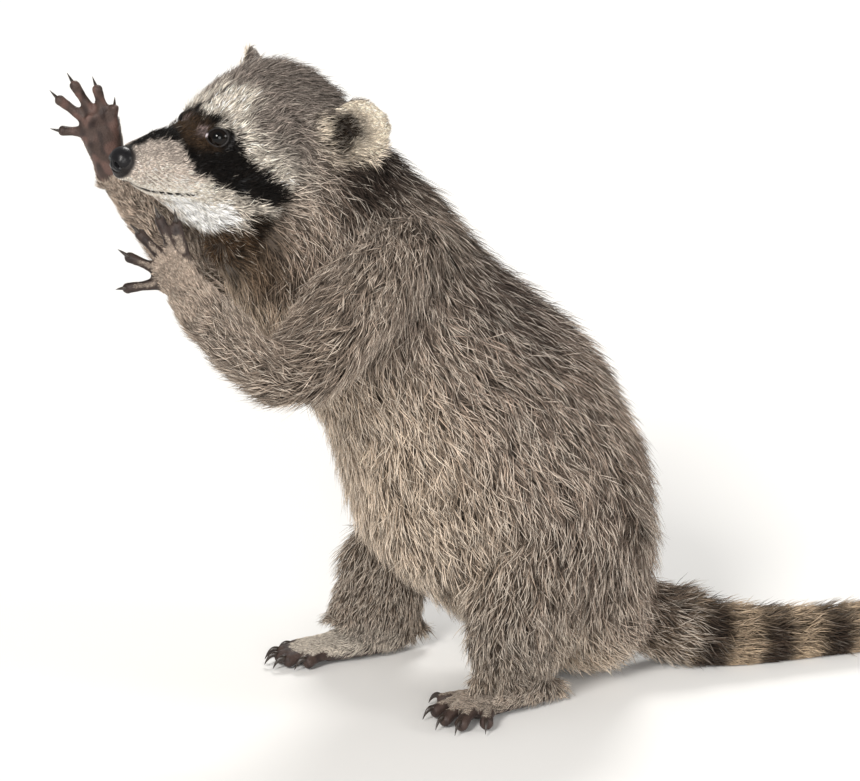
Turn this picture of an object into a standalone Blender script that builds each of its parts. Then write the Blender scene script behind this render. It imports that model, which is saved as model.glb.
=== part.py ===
"""A raccoon standing on its hind feet and reaching forward with both hands, as closed solids at life size.

The animal faces -Y, its left side is +X and +Z is up. Every solid is a loft or a blob worked out from joint
positions and thicknesses in millimetres, measured to the tips of the coat. Where two pieces meet, the one
behind is cut back by GAP, so nothing overlaps. The origin is under the middle of the whole animal, on the
floor.
"""

import bpy
import bmesh
import numpy as np

COLLECTION = "raccoon"
CUTTERS = "cutters"

MM = 0.001
GAP = 0.35  # clear space between touching pieces
MIDLINE = -10.0  # x of the trunk's middle plane, before the animal is centred

LEFT = np.array([1.0, 0.0, 0.0])
UP = np.array([0.0, 0.0, 1.0])

# The head's own axes: it looks forward, a little up and a little to its left.
NOSE_TIP = np.array([4.0, -191.6, 345.3])
HEAD_FORWARD = np.array([0.352, -0.925, 0.145])
HEAD_LEFT = np.array([0.93, 0.329, -0.163])

EYE_BACK, EYE_SIDE, EYE_UP, EYE_RADIUS = 59.5, 18.0, 18.0, 8.0
EAR_BACK, EAR_SIDE, EAR_UP = 119.0, 44.0, 31.0
EAR_LENGTH, EAR_WIDTH, EAR_THICKNESS = 35.0, 41.0, 4.0
EAR_CUP = 11.0  # how deep the ear is hollowed at its root
NOSE_BACK, NOSE_UP, NOSE_RADII = 6.5, -2.5, (7.8, 7.6, 6.5)

COLOURS = {
    "grey_coat": (0.27, 0.23, 0.19),
    "pale_coat": (0.50, 0.45, 0.38),
    "dark_skin": (0.07, 0.05, 0.05),
    "eye_glass": (0.01, 0.008, 0.007),
    "nose_leather": (0.02, 0.02, 0.022),
}
ROUGHNESS = {"grey_coat": 0.9, "pale_coat": 0.9, "dark_skin": 0.6, "eye_glass": 0.05, "nose_leather": 0.35}


def clear_scene():
    for old in list(bpy.data.objects):
        bpy.data.objects.remove(old)


def material(name):
    """The Principled material of this name, made once."""
    found = bpy.data.materials.get(name)
    if found:
        return found
    made = bpy.data.materials.new(name)
    made.use_nodes = True
    shader = made.node_tree.nodes["Principled BSDF"]
    shader.inputs["Base Color"].default_value = (*COLOURS[name], 1.0)
    shader.inputs["Roughness"].default_value = ROUGHNESS[name]
    shader.inputs["Metallic"].default_value = 0.0
    return made


def unit(vector):
    vector = np.asarray(vector, float)
    return vector / np.linalg.norm(vector, axis=-1, keepdims=True)


def mesh_object(name, points, faces, finish):
    """A new object in the animal's collection from points in millimetres, its faces turned outwards."""
    mesh = bpy.data.meshes.new(name)
    mesh.from_pydata([tuple(p) for p in np.asarray(points) * MM], [], faces)
    built = bmesh.new()
    built.from_mesh(mesh)
    bmesh.ops.recalc_face_normals(built, faces=built.faces)
    built.to_mesh(mesh)
    built.free()
    mesh.materials.append(material(finish))
    made = bpy.data.objects.new(name, mesh)
    bpy.data.collections[COLLECTION].objects.link(made)
    return made


def smooth_rows(rows, count):
    """Catmull-Rom curve through the rows, each row any list of numbers, read at count even steps."""
    rows = np.asarray(rows, float)
    padded = np.vstack([2 * rows[0] - rows[1], rows, 2 * rows[-1] - rows[-2]])
    place = np.linspace(0, len(rows) - 1, count)
    span = np.minimum(place.astype(int), len(rows) - 2)
    t = (place - span)[:, None]
    a, b, c, d = (padded[span + k] for k in range(4))
    bend = (2 * a - 5 * b + 4 * c - d) * t**2
    return 0.5 * (2 * b + (c - a) * t + bend + (3 * b - a - 3 * c + d) * t**3)


def ring(centre, side, top, half_width, rise, drop, squareness, sides):
    """A superellipse, half_width along side, rise along top and drop below. Squareness 2 is an ellipse."""
    angle = np.linspace(0, 2 * np.pi, sides, endpoint=False)
    across = np.sign(np.cos(angle)) * np.abs(np.cos(angle)) ** (2 / squareness)
    along = np.sign(np.sin(angle)) * np.abs(np.sin(angle)) ** (2 / squareness)
    height = np.where(along > 0, rise, drop) * along
    return centre + across[:, None] * half_width * side + height[:, None] * top


def skin_rings(name, rings, finish):
    """A closed solid over rings of equal count, with a flat cap on each end."""
    sides = len(rings[0])
    here = np.arange(sides)
    after = (here + 1) % sides
    faces = []
    for row in range(len(rings) - 1):
        low, high = row * sides, (row + 1) * sides
        faces += np.stack([low + here, low + after, high + after, high + here], 1).tolist()
    faces.append(here[::-1].tolist())
    faces.append((here + (len(rings) - 1) * sides).tolist())
    return mesh_object(name, np.vstack(rings), faces, finish)


def domed(rows, ends):
    """Adds shrinking rows beyond an end, so that a limb closes round. ends gives each end's dome height."""
    angles = np.radians([34, 68])
    for at_start in (True, False):
        height = ends[0 if at_start else 1]
        if not height:
            continue
        tip, before = (rows[0], rows[1]) if at_start else (rows[-1], rows[-2])
        outward = unit(tip[:3] - before[:3])
        cap = []
        for angle in angles:
            row = tip.copy()
            row[:3] += outward * height * np.sin(angle)
            row[3:5] *= np.cos(angle)
            cap.append(row)
        rows = np.vstack([cap[::-1], rows]) if at_start else np.vstack([rows, cap])
    return rows


def limb(name, stations, wide_axis, finish, sides=14, count=9, dome=(8.0, 8.0), squareness=2.0):
    """A loft along stations (x, y, z, half width, half depth), its width kept near wide_axis."""
    rows = domed(smooth_rows(stations, count), dome)
    path = unit(np.gradient(rows[:, :3], axis=0))
    rings = []
    for row, forward in zip(rows, path):
        side = unit(wide_axis - forward * np.dot(wide_axis, forward))
        top = np.cross(forward, side)
        rings.append(ring(row[:3], side, top, row[3], row[4], row[4], squareness, sides))
    return skin_rings(name, rings, finish)


def copy_of(source, name, swell=0.0):
    """A hidden copy, its surface moved outwards by swell millimetres along its normals."""
    made = source.copy()
    made.data = source.data.copy()
    made.name = name
    bpy.data.collections[CUTTERS].objects.link(made)
    made.hide_render = True
    made.display_type = "WIRE"
    shape = bmesh.new()
    shape.from_mesh(made.data)
    shape.normal_update()
    shifts = [vertex.normal * swell * MM for vertex in shape.verts]
    for vertex, shift in zip(shape.verts, shifts):
        vertex.co += shift
    shape.to_mesh(made.data)
    shape.free()
    return made


def combine(target, tool, operation):
    """Applies one Boolean to target and removes the tool. The exact solver leaves specks on these cuts."""
    step = target.modifiers.new("combine", "BOOLEAN")
    step.operation = operation
    step.solver = "MANIFOLD"
    step.object = tool
    bpy.context.view_layer.update()
    result = bpy.data.meshes.new_from_object(target.evaluated_get(bpy.context.evaluated_depsgraph_get()))
    target.modifiers.clear()
    target.data = result
    bpy.data.objects.remove(tool)


def corners(piece):
    points = np.array([vertex.co for vertex in piece.data.vertices])
    return points.min(0), points.max(0)


def make_room(piece, *neighbours):
    """Cuts the neighbours, GAP larger than they are, out of the piece."""
    for neighbour in neighbours:
        low, high = corners(piece)
        other_low, other_high = corners(neighbour)
        if (low < other_high + GAP * MM).all() and (other_low - GAP * MM < high).all():
            combine(piece, copy_of(neighbour, "room", GAP), "DIFFERENCE")
    drop_offcuts(piece)


def drop_offcuts(piece):
    """Keeps the body with the most faces, where a cut has left crumbs beside it."""
    shape = bmesh.new()
    shape.from_mesh(piece.data)
    unseen = set(shape.verts)
    bodies = []
    while unseen:
        body = {unseen.pop()}
        front = list(body)
        while front:
            here = front.pop()
            near = {edge.other_vert(here) for edge in here.link_edges} - body
            body |= near
            front += near
        unseen -= body
        bodies.append(body)
    crumbs = [vertex for body in sorted(bodies, key=len)[:-1] for vertex in body]
    bmesh.ops.delete(shape, geom=crumbs, context="VERTS")
    shape.to_mesh(piece.data)
    shape.free()


def keep_side(piece, point, outward):
    """Keeps what lies against outward from the plane through point, and closes the flat."""
    shape = bmesh.new()
    shape.from_mesh(piece.data)
    everything = shape.verts[:] + shape.edges[:] + shape.faces[:]
    cut = bmesh.ops.bisect_plane(
        shape,
        geom=everything,
        dist=1e-7,
        plane_co=np.asarray(point) * MM,
        plane_no=outward,
        clear_outer=True,
    )
    rim = [item for item in cut["geom_cut"] if isinstance(item, bmesh.types.BMEdge)]
    bmesh.ops.holes_fill(shape, edges=rim)
    bmesh.ops.recalc_face_normals(shape, faces=shape.faces)
    shape.to_mesh(piece.data)
    shape.free()


def part_in_two(piece, name, point, direction):
    """Cuts a piece across at point. What lies along direction becomes a new piece of this name."""
    made = piece.copy()
    made.data = piece.data.copy()
    made.name = name
    bpy.data.collections[COLLECTION].objects.link(made)
    direction = unit(direction)
    keep_side(piece, np.asarray(point) - direction * GAP / 2, direction)
    keep_side(made, np.asarray(point) + direction * GAP / 2, -direction)
    return made


# ---------------------------------------------------------------- trunk, neck and tail

# Rows from rump to neck: back line (y, z), belly line (y, z), half width.
TRUNK_PROFILE = [
    (143, 58, 96, 5, 48),
    (147, 93, 48, 22, 68),
    (143, 137, 4, 52, 83),
    (121, 190, -42, 98, 85),
    (97, 222, -53, 130, 80),
    (64, 252, -64, 168, 73),
    (32, 276, -84, 200, 66),
    (3, 316, -112, 238, 58),
    (-33, 351, -124, 270, 51),
    (-66, 364, -124, 300, 40),
]
TRUNK_SQUARENESS = 2.15
TRUNK_LIDS = [(0.82, 9.0), (0.42, 15.0)]  # how wide each closing ring is, and how far beyond the end row
NECK_ROW = 6.6  # the neck begins this far along the rows
NECK_SWAY = -20.0  # how far the neck's middle line swings to the right, under the turned head

# Rows along the tail: y, height of the middle, half width, half height.
TAIL_PROFILE = [
    (108, 50, 30, 32),
    (146, 33, 29, 27),
    (178, 22, 24, 22.5),
    (212, 18, 20.5, 19.5),
    (250, 16, 19, 17.5),
    (292, 15.5, 19, 17.5),
    (332, 14.5, 18, 16.5),
    (362, 11, 13, 12.5),
    (380, 7.5, 7, 8.5),
]
TAIL_SWAY = 18.0  # how far the tail's middle line swings to the left
TAIL_CUTS = (196, 258, 320)


def trunk_rings(sides=18, count=16):
    """Rings from rump to neck, each spanning from the back line to the belly line."""
    rows = smooth_rows(TRUNK_PROFILE, count)
    back, belly, half_width = rows[:, 0:2], rows[:, 2:4], rows[:, 4]
    swing = np.clip(np.linspace(0, len(TRUNK_PROFILE) - 1, count) / 2.0 - 3.2, 0, 1)
    sway = MIDLINE + NECK_SWAY * swing**2 * (3 - 2 * swing)
    centre = np.column_stack([sway, (back + belly) / 2])
    half_depth = np.linalg.norm(back - belly, axis=1) / 2
    top = np.column_stack([np.zeros(count), (back - belly) / (2 * half_depth[:, None])])
    rings = [
        ring(centre[i], LEFT, top[i], half_width[i], half_depth[i], half_depth[i], TRUNK_SQUARENESS, sides)
        for i in range(count)
    ]
    start = unit(centre[0] - centre[1])
    end = unit(centre[-1] - centre[-2])
    first = [centre[0] + start * reach + (rings[0] - centre[0]) * scale for scale, reach in TRUNK_LIDS]
    last = [centre[-1] + end * reach + (rings[-1] - centre[-1]) * scale for scale, reach in TRUNK_LIDS]
    return first[::-1] + rings + last


def trunk_and_neck():
    """The body's loft, cut across square to its own slope where the neck begins."""
    trunk = skin_rings("trunk", trunk_rings(), "grey_coat")
    rows = np.asarray(TRUNK_PROFILE, float)
    here = smooth_rows(rows, 101)[int(round(NECK_ROW / (len(rows) - 1) * 100))]
    point = [MIDLINE, (here[0] + here[2]) / 2, (here[1] + here[3]) / 2]
    top = unit([0.0, here[0] - here[2], here[1] - here[3]])
    neck = part_in_two(trunk, "neck", point, np.cross(top, LEFT) * -1.0)
    return trunk, neck


def tail_middle(y):
    """x of the tail's middle line: it leaves the rump straight, then swings to the left and runs on."""
    swing = np.clip((y - 120.0) / 90.0, 0, 1)
    return MIDLINE + TAIL_SWAY * swing**2 * (3 - 2 * swing)


def tail_pieces():
    """One tapering loft cut across into four lengths."""
    stations = [(tail_middle(y), y, z, wide, high) for y, z, wide, high in TAIL_PROFILE]
    base = limb("tail_base", stations, LEFT, "grey_coat", sides=12, count=14, dome=(6.0, 9.0))
    pieces = [base]
    for name, y in zip(("tail_middle", "tail_end", "tail_tip"), TAIL_CUTS):
        pieces.append(part_in_two(pieces[-1], name, (0, y, 0), (0, 1, 0)))
    return pieces


# ---------------------------------------------------------------- head

# Rows from the muzzle's tip back: how far behind the nose, half width, top, bottom, widest level.
HEAD_PROFILE = [
    (2, 6.5, 2.5, -9.5, -3.5),
    (7, 9.5, 6.0, -12.5, -4.5),
    (15, 12, 9.5, -15.5, -5.5),
    (28, 15, 13.5, -21, -7),
    (40, 20, 18.0, -27, -8),
    (49, 25.5, 24.0, -31, -8),
    (58, 32, 32.0, -35, -8),
    (70, 43, 42.0, -40, -8),
    (86, 53, 53, -44, -8),
    (103, 59, 61, -47, -7),
    (120, 61, 63, -48, -5),
    (137, 56, 56, -46, -4),
    (150, 43, 43, -37, -2),
    (158, 22, 24, -22, 0),
]
HEAD_SQUARENESS = 1.95

# Hollows and swellings on each side: place (behind the nose, to the side, up), reach, depth inwards.
HEAD_SHAPING = [
    ((46, 19, 10), (14, 14, 12), 2.5),
    ((66, 24, 34), (13, 13, 11), -2.0),
    ((108, 58, -20), (22, 22, 18), -4.0),
]


def head_axes():
    forward = unit(HEAD_FORWARD)
    left = unit(HEAD_LEFT - forward * np.dot(HEAD_LEFT, forward))
    return forward, left, np.cross(forward, left)


def on_head(back, side, up):
    """A place in the head's own axes, measured from the nose tip, in the animal's axes."""
    forward, left, top = head_axes()
    return NOSE_TIP - forward * back + left * side + top * up


def dip(points, centre, reach, depth):
    """How far each point sinks into a soft hollow (or rises, for a negative depth) of this reach."""
    away = np.linalg.norm((points - centre) / reach, axis=1)
    return depth * np.exp(-(away**2))


def head_solid():
    """The skull's loft with its coat, hollowed beside the muzzle and swollen at the brow and cheeks."""
    left, top = head_axes()[1:]
    rows = smooth_rows(HEAD_PROFILE, 21)
    rings = []
    for back, half_width, high, low, level in rows:
        centre = on_head(back, 0, level)
        rings.append(ring(centre, left, top, half_width, high - level, level - low, HEAD_SQUARENESS, 22))
    rings = np.array(rings)
    inward = unit(rings.mean(1, keepdims=True) - rings)
    points = rings.reshape(-1, 3)
    push = np.zeros(len(points))
    for (back, side, up), reach, depth in HEAD_SHAPING:
        for hand in (-1, 1):
            push += dip(points, on_head(back, hand * side, up), reach, depth)
    points = points + inward.reshape(-1, 3) * push[:, None]
    return skin_rings("head", list(points.reshape(rings.shape)), "grey_coat")


def blob(name, centre, axes, radii, finish, segments=14, rows=8):
    """An ellipsoid with these half lengths along these axes."""
    built = bmesh.new()
    bmesh.ops.create_uvsphere(built, u_segments=segments, v_segments=rows, radius=1.0)
    points = np.array([vertex.co for vertex in built.verts])
    faces = [[vertex.index for vertex in face.verts] for face in built.faces]
    built.free()
    return mesh_object(name, centre + (points * radii) @ np.asarray(axes), faces, finish)


def eye(name, hand):
    forward, left, top = head_axes()
    centre = on_head(EYE_BACK, hand * EYE_SIDE, EYE_UP)
    return blob(name, centre, (left, top, forward), (EYE_RADIUS,) * 3, "eye_glass", 10, 6)


def nose_pad():
    forward, left, top = head_axes()
    centre = on_head(NOSE_BACK, 0, NOSE_UP)
    return blob("nose", centre, (left, top, forward), NOSE_RADII, "nose_leather", 10, 6)


def ear(name, hand, laid_back):
    """A cupped leaf: a half-round grid, narrow at the root and round at the tip, thickened by Solidify."""
    forward, left, top = head_axes()
    root = on_head(EAR_BACK, hand * EAR_SIDE, EAR_UP)
    along = unit(-laid_back * forward + hand * 0.667 * left + 0.485 * top)
    opening = 0.62 * forward + hand * 0.72 * left - 0.22 * top
    opening = unit(opening - along * np.dot(opening, along))
    across = np.cross(along, opening)
    u, v = np.meshgrid(np.linspace(-1, 1, 8), np.linspace(-0.15, 1, 7))
    reach = EAR_LENGTH * v
    half = 0.5 * EAR_WIDTH * np.sqrt(np.clip(1 - np.clip((v - 0.45) / 0.56, 0, 1) ** 2.2, 0.0, 1))
    half = half * (0.78 + 0.22 * np.clip(v / 0.45, 0, 1)) + 0.5
    cup = EAR_CUP * (1 - u**2) * (1 - 0.75 * np.clip(v, 0, 1) ** 1.5) - EAR_THICKNESS
    points = root + reach[..., None] * along + (half * u)[..., None] * across - cup[..., None] * opening
    rows, columns = u.shape
    start = (np.arange(rows - 1)[:, None] * columns + np.arange(columns - 1)).ravel()
    faces = np.stack([start, start + 1, start + columns + 1, start + columns], 1).tolist()
    made = mesh_object(name, points.reshape(-1, 3), faces, "grey_coat")
    wall = made.modifiers.new("wall", "SOLIDIFY")
    wall.thickness = EAR_THICKNESS * MM
    wall.offset = 0.0
    bpy.context.view_layer.update()
    made.data = bpy.data.meshes.new_from_object(
        made.evaluated_get(bpy.context.evaluated_depsgraph_get())
    )
    made.modifiers.clear()
    return made


# ---------------------------------------------------------------- limbs

# Stations are (x, y, z, half width, half depth).
ARM_LEFT = {
    "upper": [
        (14, -18, 292, 26, 30),
        (38, -46, 274, 29, 35),
        (54, -74, 248, 28, 34),
        (68, -100, 224, 23, 28),
    ],
    "fore": [
        (70, -103, 221, 20, 26),
        (69, -122, 231, 20, 27),
        (63, -142, 250, 17, 22.5),
        (57, -158, 269, 13, 15.5),
        (51, -170, 283, 11, 11),
    ],
}
ARM_RIGHT = {
    "upper": [
        (-36, -20, 284, 24, 28),
        (-56, -50, 264, 26, 32),
        (-70, -78, 248, 26, 32),
        (-80, -100, 238, 21, 26),
    ],
    "fore": [
        (-82, -100, 234, 19, 21),
        (-82, -120, 252, 20, 21),
        (-78, -146, 284, 16, 17),
        (-75, -167, 313, 12, 12.5),
        (-71, -178, 336, 10, 11),
    ],
}
LEG_LEFT = {
    "thigh": [(30, 98, 122, 42, 40), (44, 68, 104, 40, 44), (56, 38, 84, 33, 38), (62, 20, 70, 26, 30)],
    "shank": [(60, 26, 72, 27, 32), (54, 37, 52, 25, 36), (46, 45, 36, 21, 36), (41, 51, 24, 16, 29)],
}
LEG_RIGHT = {
    "thigh": [(-52, 84, 118, 40, 40), (-66, 50, 106, 38, 42), (-78, 18, 86, 31, 36), (-84, 2, 72, 25, 30)],
    "shank": [(-84, 1, 74, 25, 32), (-83, -1, 54, 23, 33), (-81, -6, 34, 20, 34), (-80, -10, 20, 17, 33)],
}

THUMB_RADII, FINGER_RADII, TOE_RADII = (4.2, 3.5, 3.0), (4.4, 3.7, 3.1), (6.0, 5.2, 4.4)
FINGER_CLAW, TOE_CLAW = 1.35, 1.7  # radius of a claw at its base
TOE_ROOT_HEIGHT, TOE_TIP_HEIGHT, TOE_CLAW_HEIGHT = 8.0, 4.2, 1.2

# Digits run from thumb or big toe to the little one: root, tip, claw tip.
HAND_LEFT = {
    "wrist": (53.5, -162, 276.5),
    "knuckles": (44.5, -172.5, 290),
    "back": (0.917, -0.259, 0.304),
    "half_width": 13.5,
    "digits": [
        ((45, -160.5, 293), (38, -164.5, 315), (34, -164, 320)),
        ((44, -166.5, 294), (36, -174.5, 317.5), (31, -175, 322)),
        ((44, -172.5, 292), (36.5, -187.5, 309.5), (31.5, -190.5, 312.5)),
        ((44.5, -176, 286.5), (38, -195, 295.5), (33, -198, 298.5)),
        ((46, -177, 279), (41, -197.5, 276.5), (36, -200.5, 275)),
    ],
}
HAND_RIGHT = {
    "wrist": (-72.5, -176, 326),
    "knuckles": (-69, -184.5, 355.5),
    "back": (-0.93, 0.24, -0.28),
    "half_width": 13.0,
    "digits": [
        ((-64, -176, 353), (-61, -175.5, 363.5), (-59.5, -175.5, 369)),
        ((-66, -180.5, 358), (-63.5, -186, 375.5), (-62.5, -188.5, 381.5)),
        ((-69.5, -187, 357.5), (-69.5, -199, 377.5), (-68.5, -202.5, 383.5)),
        ((-72, -191.5, 354), (-74.5, -208, 367.5), (-74, -212, 372.5)),
        ((-73, -192, 346), (-77.5, -206.5, 346.5), (-77, -212, 348.5)),
    ],
}
FOOT_LEFT = {
    "heel": (34, 74),
    "ball": (52, 8),
    "outward": (0.94, 0.34),
    "toes": [
        ((38, 8), (32, -4), (25, -9)),
        ((46, 3), (50, -14), (52, -21)),
        ((55, 3), (66, -13), (72, -20)),
        ((62, 7), (77, -6), (84, -12)),
        ((67, 15), (80, 9), (88, 6)),
    ],
}
FOOT_RIGHT = {
    "heel": (-81, 14),
    "ball": (-76, -46),
    "outward": (-0.99, -0.06),
    "toes": [
        ((-64, -46), (-58.5, -62), (-57.5, -70)),
        ((-69, -52), (-65, -73), (-64, -82)),
        ((-75, -54), (-73.5, -76), (-73, -85)),
        ((-81, -52), (-82.5, -73), (-83, -82)),
        ((-86, -46), (-90.5, -63), (-92, -72)),
    ],
}


def claw(name, base, tip, droop, radius):
    """A tapered hook from base to tip, its middle raised against droop."""
    base, tip = np.asarray(base, float), np.asarray(tip, float)
    middle = (base + tip) / 2 - np.asarray(droop) * 0.12 * np.linalg.norm(tip - base)
    stations = [(*base, radius, radius * 1.15), (*middle, radius * 0.72, radius * 0.9), (*tip, 0.3, 0.35)]
    return limb(name, stations, np.cross(unit(tip - base), droop), "dark_skin", 5, 3, (0, 0))


def digit(name, root, tip, radii, palm_side, sag):
    """A finger or toe: thick at the root, waisted, with a soft pad at the tip."""
    root, tip = np.asarray(root, float), np.asarray(tip, float)
    palm_side = np.asarray(palm_side, float)
    reach = tip - root
    along = unit(reach)
    start = root - along * 3.0
    stations = []
    for part, wide in zip((0.0, 0.4, 0.75, 0.93), (radii[0], radii[1], radii[2], radii[2] * 0.97)):
        place = start + (tip - start) * part - palm_side * sag * np.sin(np.pi * part)
        stations.append((*place, wide, wide * 0.92))
    return limb(name, stations, np.cross(along, palm_side), "dark_skin", 6, 4, (0, radii[2] * 0.9))


def hand(name, plan):
    """Palm loft from the wrist to the knuckles, then five fingers with their claws joined on."""
    wrist, knuckles = np.array(plan["wrist"], float), np.array(plan["knuckles"], float)
    back = np.array(plan["back"])
    forward = unit(knuckles - wrist)
    across = np.cross(forward, back)
    wide = plan["half_width"]
    rows = [
        (*(wrist - forward * 3), wide * 0.82, 10.5),
        (*wrist, wide * 0.84, 10.0),
        (*(wrist * 0.55 + knuckles * 0.45), wide * 0.98, 8.2),
        (*(knuckles - forward * 2), wide, 6.2),
    ]
    palm = limb(name, rows, across, "dark_skin", 10, 5, (0, 5.0), 2.3)
    for number, (root, tip, claw_tip) in enumerate(plan["digits"]):
        radii = FINGER_RADII if number else THUMB_RADII
        combine(palm, digit("digit", root, tip, radii, -back, 1.0), "UNION")
        root, tip, claw_tip = (np.array(p, float) for p in (root, tip, claw_tip))
        base = tip - unit(tip - root) * 2.5 + back * 1.2
        combine(palm, claw("claw", base, claw_tip, -back, FINGER_CLAW), "UNION")
    keep_side(palm, wrist + forward * GAP / 2, -forward)
    return palm


def foot(name, plan):
    """A flat-soled foot from heel to ball, then five toes with their claws joined on.

    Also returns a plain copy without toes, which is what the leg above makes room for.
    """
    heel, ball = np.array([*plan["heel"], 0.0]), np.array([*plan["ball"], 0.0])
    forward = unit(ball - heel)
    across = np.array([*plan["outward"], 0.0])
    length = np.linalg.norm(ball - heel)
    rows = []
    for part, wide, high in ((0.02, 10, 19), (0.2, 13, 23), (0.5, 15.5, 22), (0.8, 17.5, 18), (1.0, 17, 14)):
        place = heel + forward * length * part
        rows.append((*(place + UP * (high / 2 - 1.2)), wide, high / 2))
    sole = limb(name, rows, across, "dark_skin", 12, 5, (8.0, 6.0), 2.5)
    room = copy_of(sole, name + "_room", GAP)
    for root, tip, claw_tip in plan["toes"]:
        high_root = np.array([*root, TOE_ROOT_HEIGHT])
        low_tip = np.array([*tip, TOE_TIP_HEIGHT])
        combine(sole, digit("toe", high_root, low_tip, TOE_RADII, -UP, 1.8), "UNION")
        base = low_tip - unit(low_tip - high_root) * 2.0 + UP * 1.6
        combine(sole, claw("claw", base, (*claw_tip, TOE_CLAW_HEIGHT), -UP, TOE_CLAW), "UNION")
    keep_side(sole, (0, 0, 0), -UP)
    return sole, room


def arm(side, plan, hand_plan):
    """Upper arm, forearm and hand, the forearm cut flat where the hand begins."""
    upper = limb("upper_arm_" + side, plan["upper"], UP, "grey_coat", 12, 6, (12, 14))
    fore = limb("forearm_" + side, plan["fore"], UP, "grey_coat", 12, 6, (10, 3))
    made_hand = hand("hand_" + side, hand_plan)
    wrist, knuckles = np.array(hand_plan["wrist"]), np.array(hand_plan["knuckles"])
    forward = unit(knuckles - wrist)
    keep_side(fore, wrist - forward * GAP / 2, forward)
    return upper, fore, made_hand


def leg(side, plan, foot_plan):
    """Thigh, shank, foot and the foot's plain copy."""
    thigh = limb("thigh_" + side, plan["thigh"], LEFT, "grey_coat", 12, 6, (14, 14))
    shank = limb("shank_" + side, plan["shank"], LEFT, "grey_coat", 12, 6, (12, 10))
    return thigh, shank, *foot("foot_" + side, foot_plan)


def centre_on_floor(pieces):
    """Hangs every piece on one empty, moved so that the whole stands centred on the origin."""
    boxes = np.array([corners(piece) for piece in pieces])
    low, high = boxes[:, 0].min(0), boxes[:, 1].max(0)
    anchor = bpy.data.objects.new("raccoon_origin", None)
    bpy.data.collections[COLLECTION].objects.link(anchor)
    for piece in pieces:
        piece.parent = anchor
    anchor.location = (-(low[0] + high[0]) / 2, -(low[1] + high[1]) / 2, -low[2])
    print("centred by (mm):", [round(value / MM, 3) for value in anchor.location])


def main():
    clear_scene()
    for name in (COLLECTION, CUTTERS):
        made = bpy.data.collections.new(name)
        bpy.context.scene.collection.children.link(made)

    head = head_solid()
    eyes = [eye("eye_l", 1), eye("eye_r", -1)]
    pad = nose_pad()
    ears = [ear("ear_l", 1, 0.575), ear("ear_r", -1, 0.75)]
    trunk, neck = trunk_and_neck()
    tail = tail_pieces()
    upper_l, fore_l, hand_l = arm("l", ARM_LEFT, HAND_LEFT)
    upper_r, fore_r, hand_r = arm("r", ARM_RIGHT, HAND_RIGHT)
    thigh_l, shank_l, foot_l, sole_l = leg("l", LEG_LEFT, FOOT_LEFT)
    thigh_r, shank_r, foot_r, sole_r = leg("r", LEG_RIGHT, FOOT_RIGHT)

    limbs = (upper_l, upper_r, fore_l, fore_r, thigh_l, thigh_r, shank_l, shank_r, sole_l, sole_r)
    make_room(trunk, *limbs, *tail)
    make_room(tail[0], thigh_l, thigh_r, shank_l, shank_r, sole_l)
    for one in tail:
        keep_side(one, (0, 0, 0), -UP)
    for one in ears:
        make_room(one, neck)
    make_room(neck, head, upper_l, upper_r, fore_l, fore_r)
    make_room(shank_l, sole_l, thigh_l)
    make_room(shank_r, sole_r, thigh_r)
    make_room(fore_l, upper_l, head)
    make_room(fore_r, upper_r, head)
    make_room(upper_l, head)
    make_room(upper_r, head)
    for one in ears:
        make_room(one, head)
    make_room(head, *eyes, pad)
    for helper in (sole_l, sole_r):
        bpy.data.objects.remove(helper)

    pieces = [head, *eyes, pad, *ears, neck, trunk, *tail]
    pieces += [upper_l, fore_l, hand_l, upper_r, fore_r, hand_r]
    pieces += [thigh_l, shank_l, foot_l, thigh_r, shank_r, foot_r]
    for piece in pieces:
        piece.data.shade_smooth()
    centre_on_floor(pieces)


main()
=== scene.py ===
"""Looks of the standing raccoon: one skin, a coat of meshed tufts over it, eyes, nose, claws and whiskers.

Lengths are in millimetres. The animal faces -Y, its left side is +X and +Z is up. Places on the body are as
they were drawn, before SHIFT centred the animal on its origin. Places on the head are given in the head's own
axes: how far behind the nose tip, to which side, and how far up. As a number, hand is 1 on the left side and
-1 on the right.
"""

import bmesh
import bpy
import numpy as np
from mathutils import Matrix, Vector


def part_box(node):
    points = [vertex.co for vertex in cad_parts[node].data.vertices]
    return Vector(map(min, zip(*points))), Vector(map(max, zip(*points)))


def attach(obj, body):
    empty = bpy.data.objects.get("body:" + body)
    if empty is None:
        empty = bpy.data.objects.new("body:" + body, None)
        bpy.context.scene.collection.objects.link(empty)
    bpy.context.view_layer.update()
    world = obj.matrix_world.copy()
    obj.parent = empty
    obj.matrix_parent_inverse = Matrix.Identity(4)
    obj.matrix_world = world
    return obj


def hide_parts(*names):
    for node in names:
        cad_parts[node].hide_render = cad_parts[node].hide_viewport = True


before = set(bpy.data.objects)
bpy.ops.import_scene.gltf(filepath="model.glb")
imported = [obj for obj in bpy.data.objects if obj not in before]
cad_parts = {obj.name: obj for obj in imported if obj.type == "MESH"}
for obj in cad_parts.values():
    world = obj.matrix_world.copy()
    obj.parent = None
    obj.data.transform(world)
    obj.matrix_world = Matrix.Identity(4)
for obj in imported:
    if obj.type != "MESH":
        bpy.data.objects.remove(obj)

MM = 0.001
UP = np.array([0.0, 0.0, 1.0])
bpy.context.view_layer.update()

HEAD_FORWARD = np.array([0.352, -0.925, 0.145])
HEAD_LEFT = np.array([0.93, 0.329, -0.163])
EYE_PLACE = np.array([59.5, 18.0, 18.0])  # centre of the eyeball, on either side
EYE_RADIUS = 8.0
# Each ball lies a little deeper than the solid that stands for it: how far inwards and towards the middle.
EYE_SUNK = {1: (1.3, 0.0), -1: (2.8, 2.6)}
EYE_MOVED = (-2.0, 0.7)  # and how far back and up
NOSE_TIP_DRAWN = np.array([4.0, -191.6, 345.3])  # before the animal was centred on its origin

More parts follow.
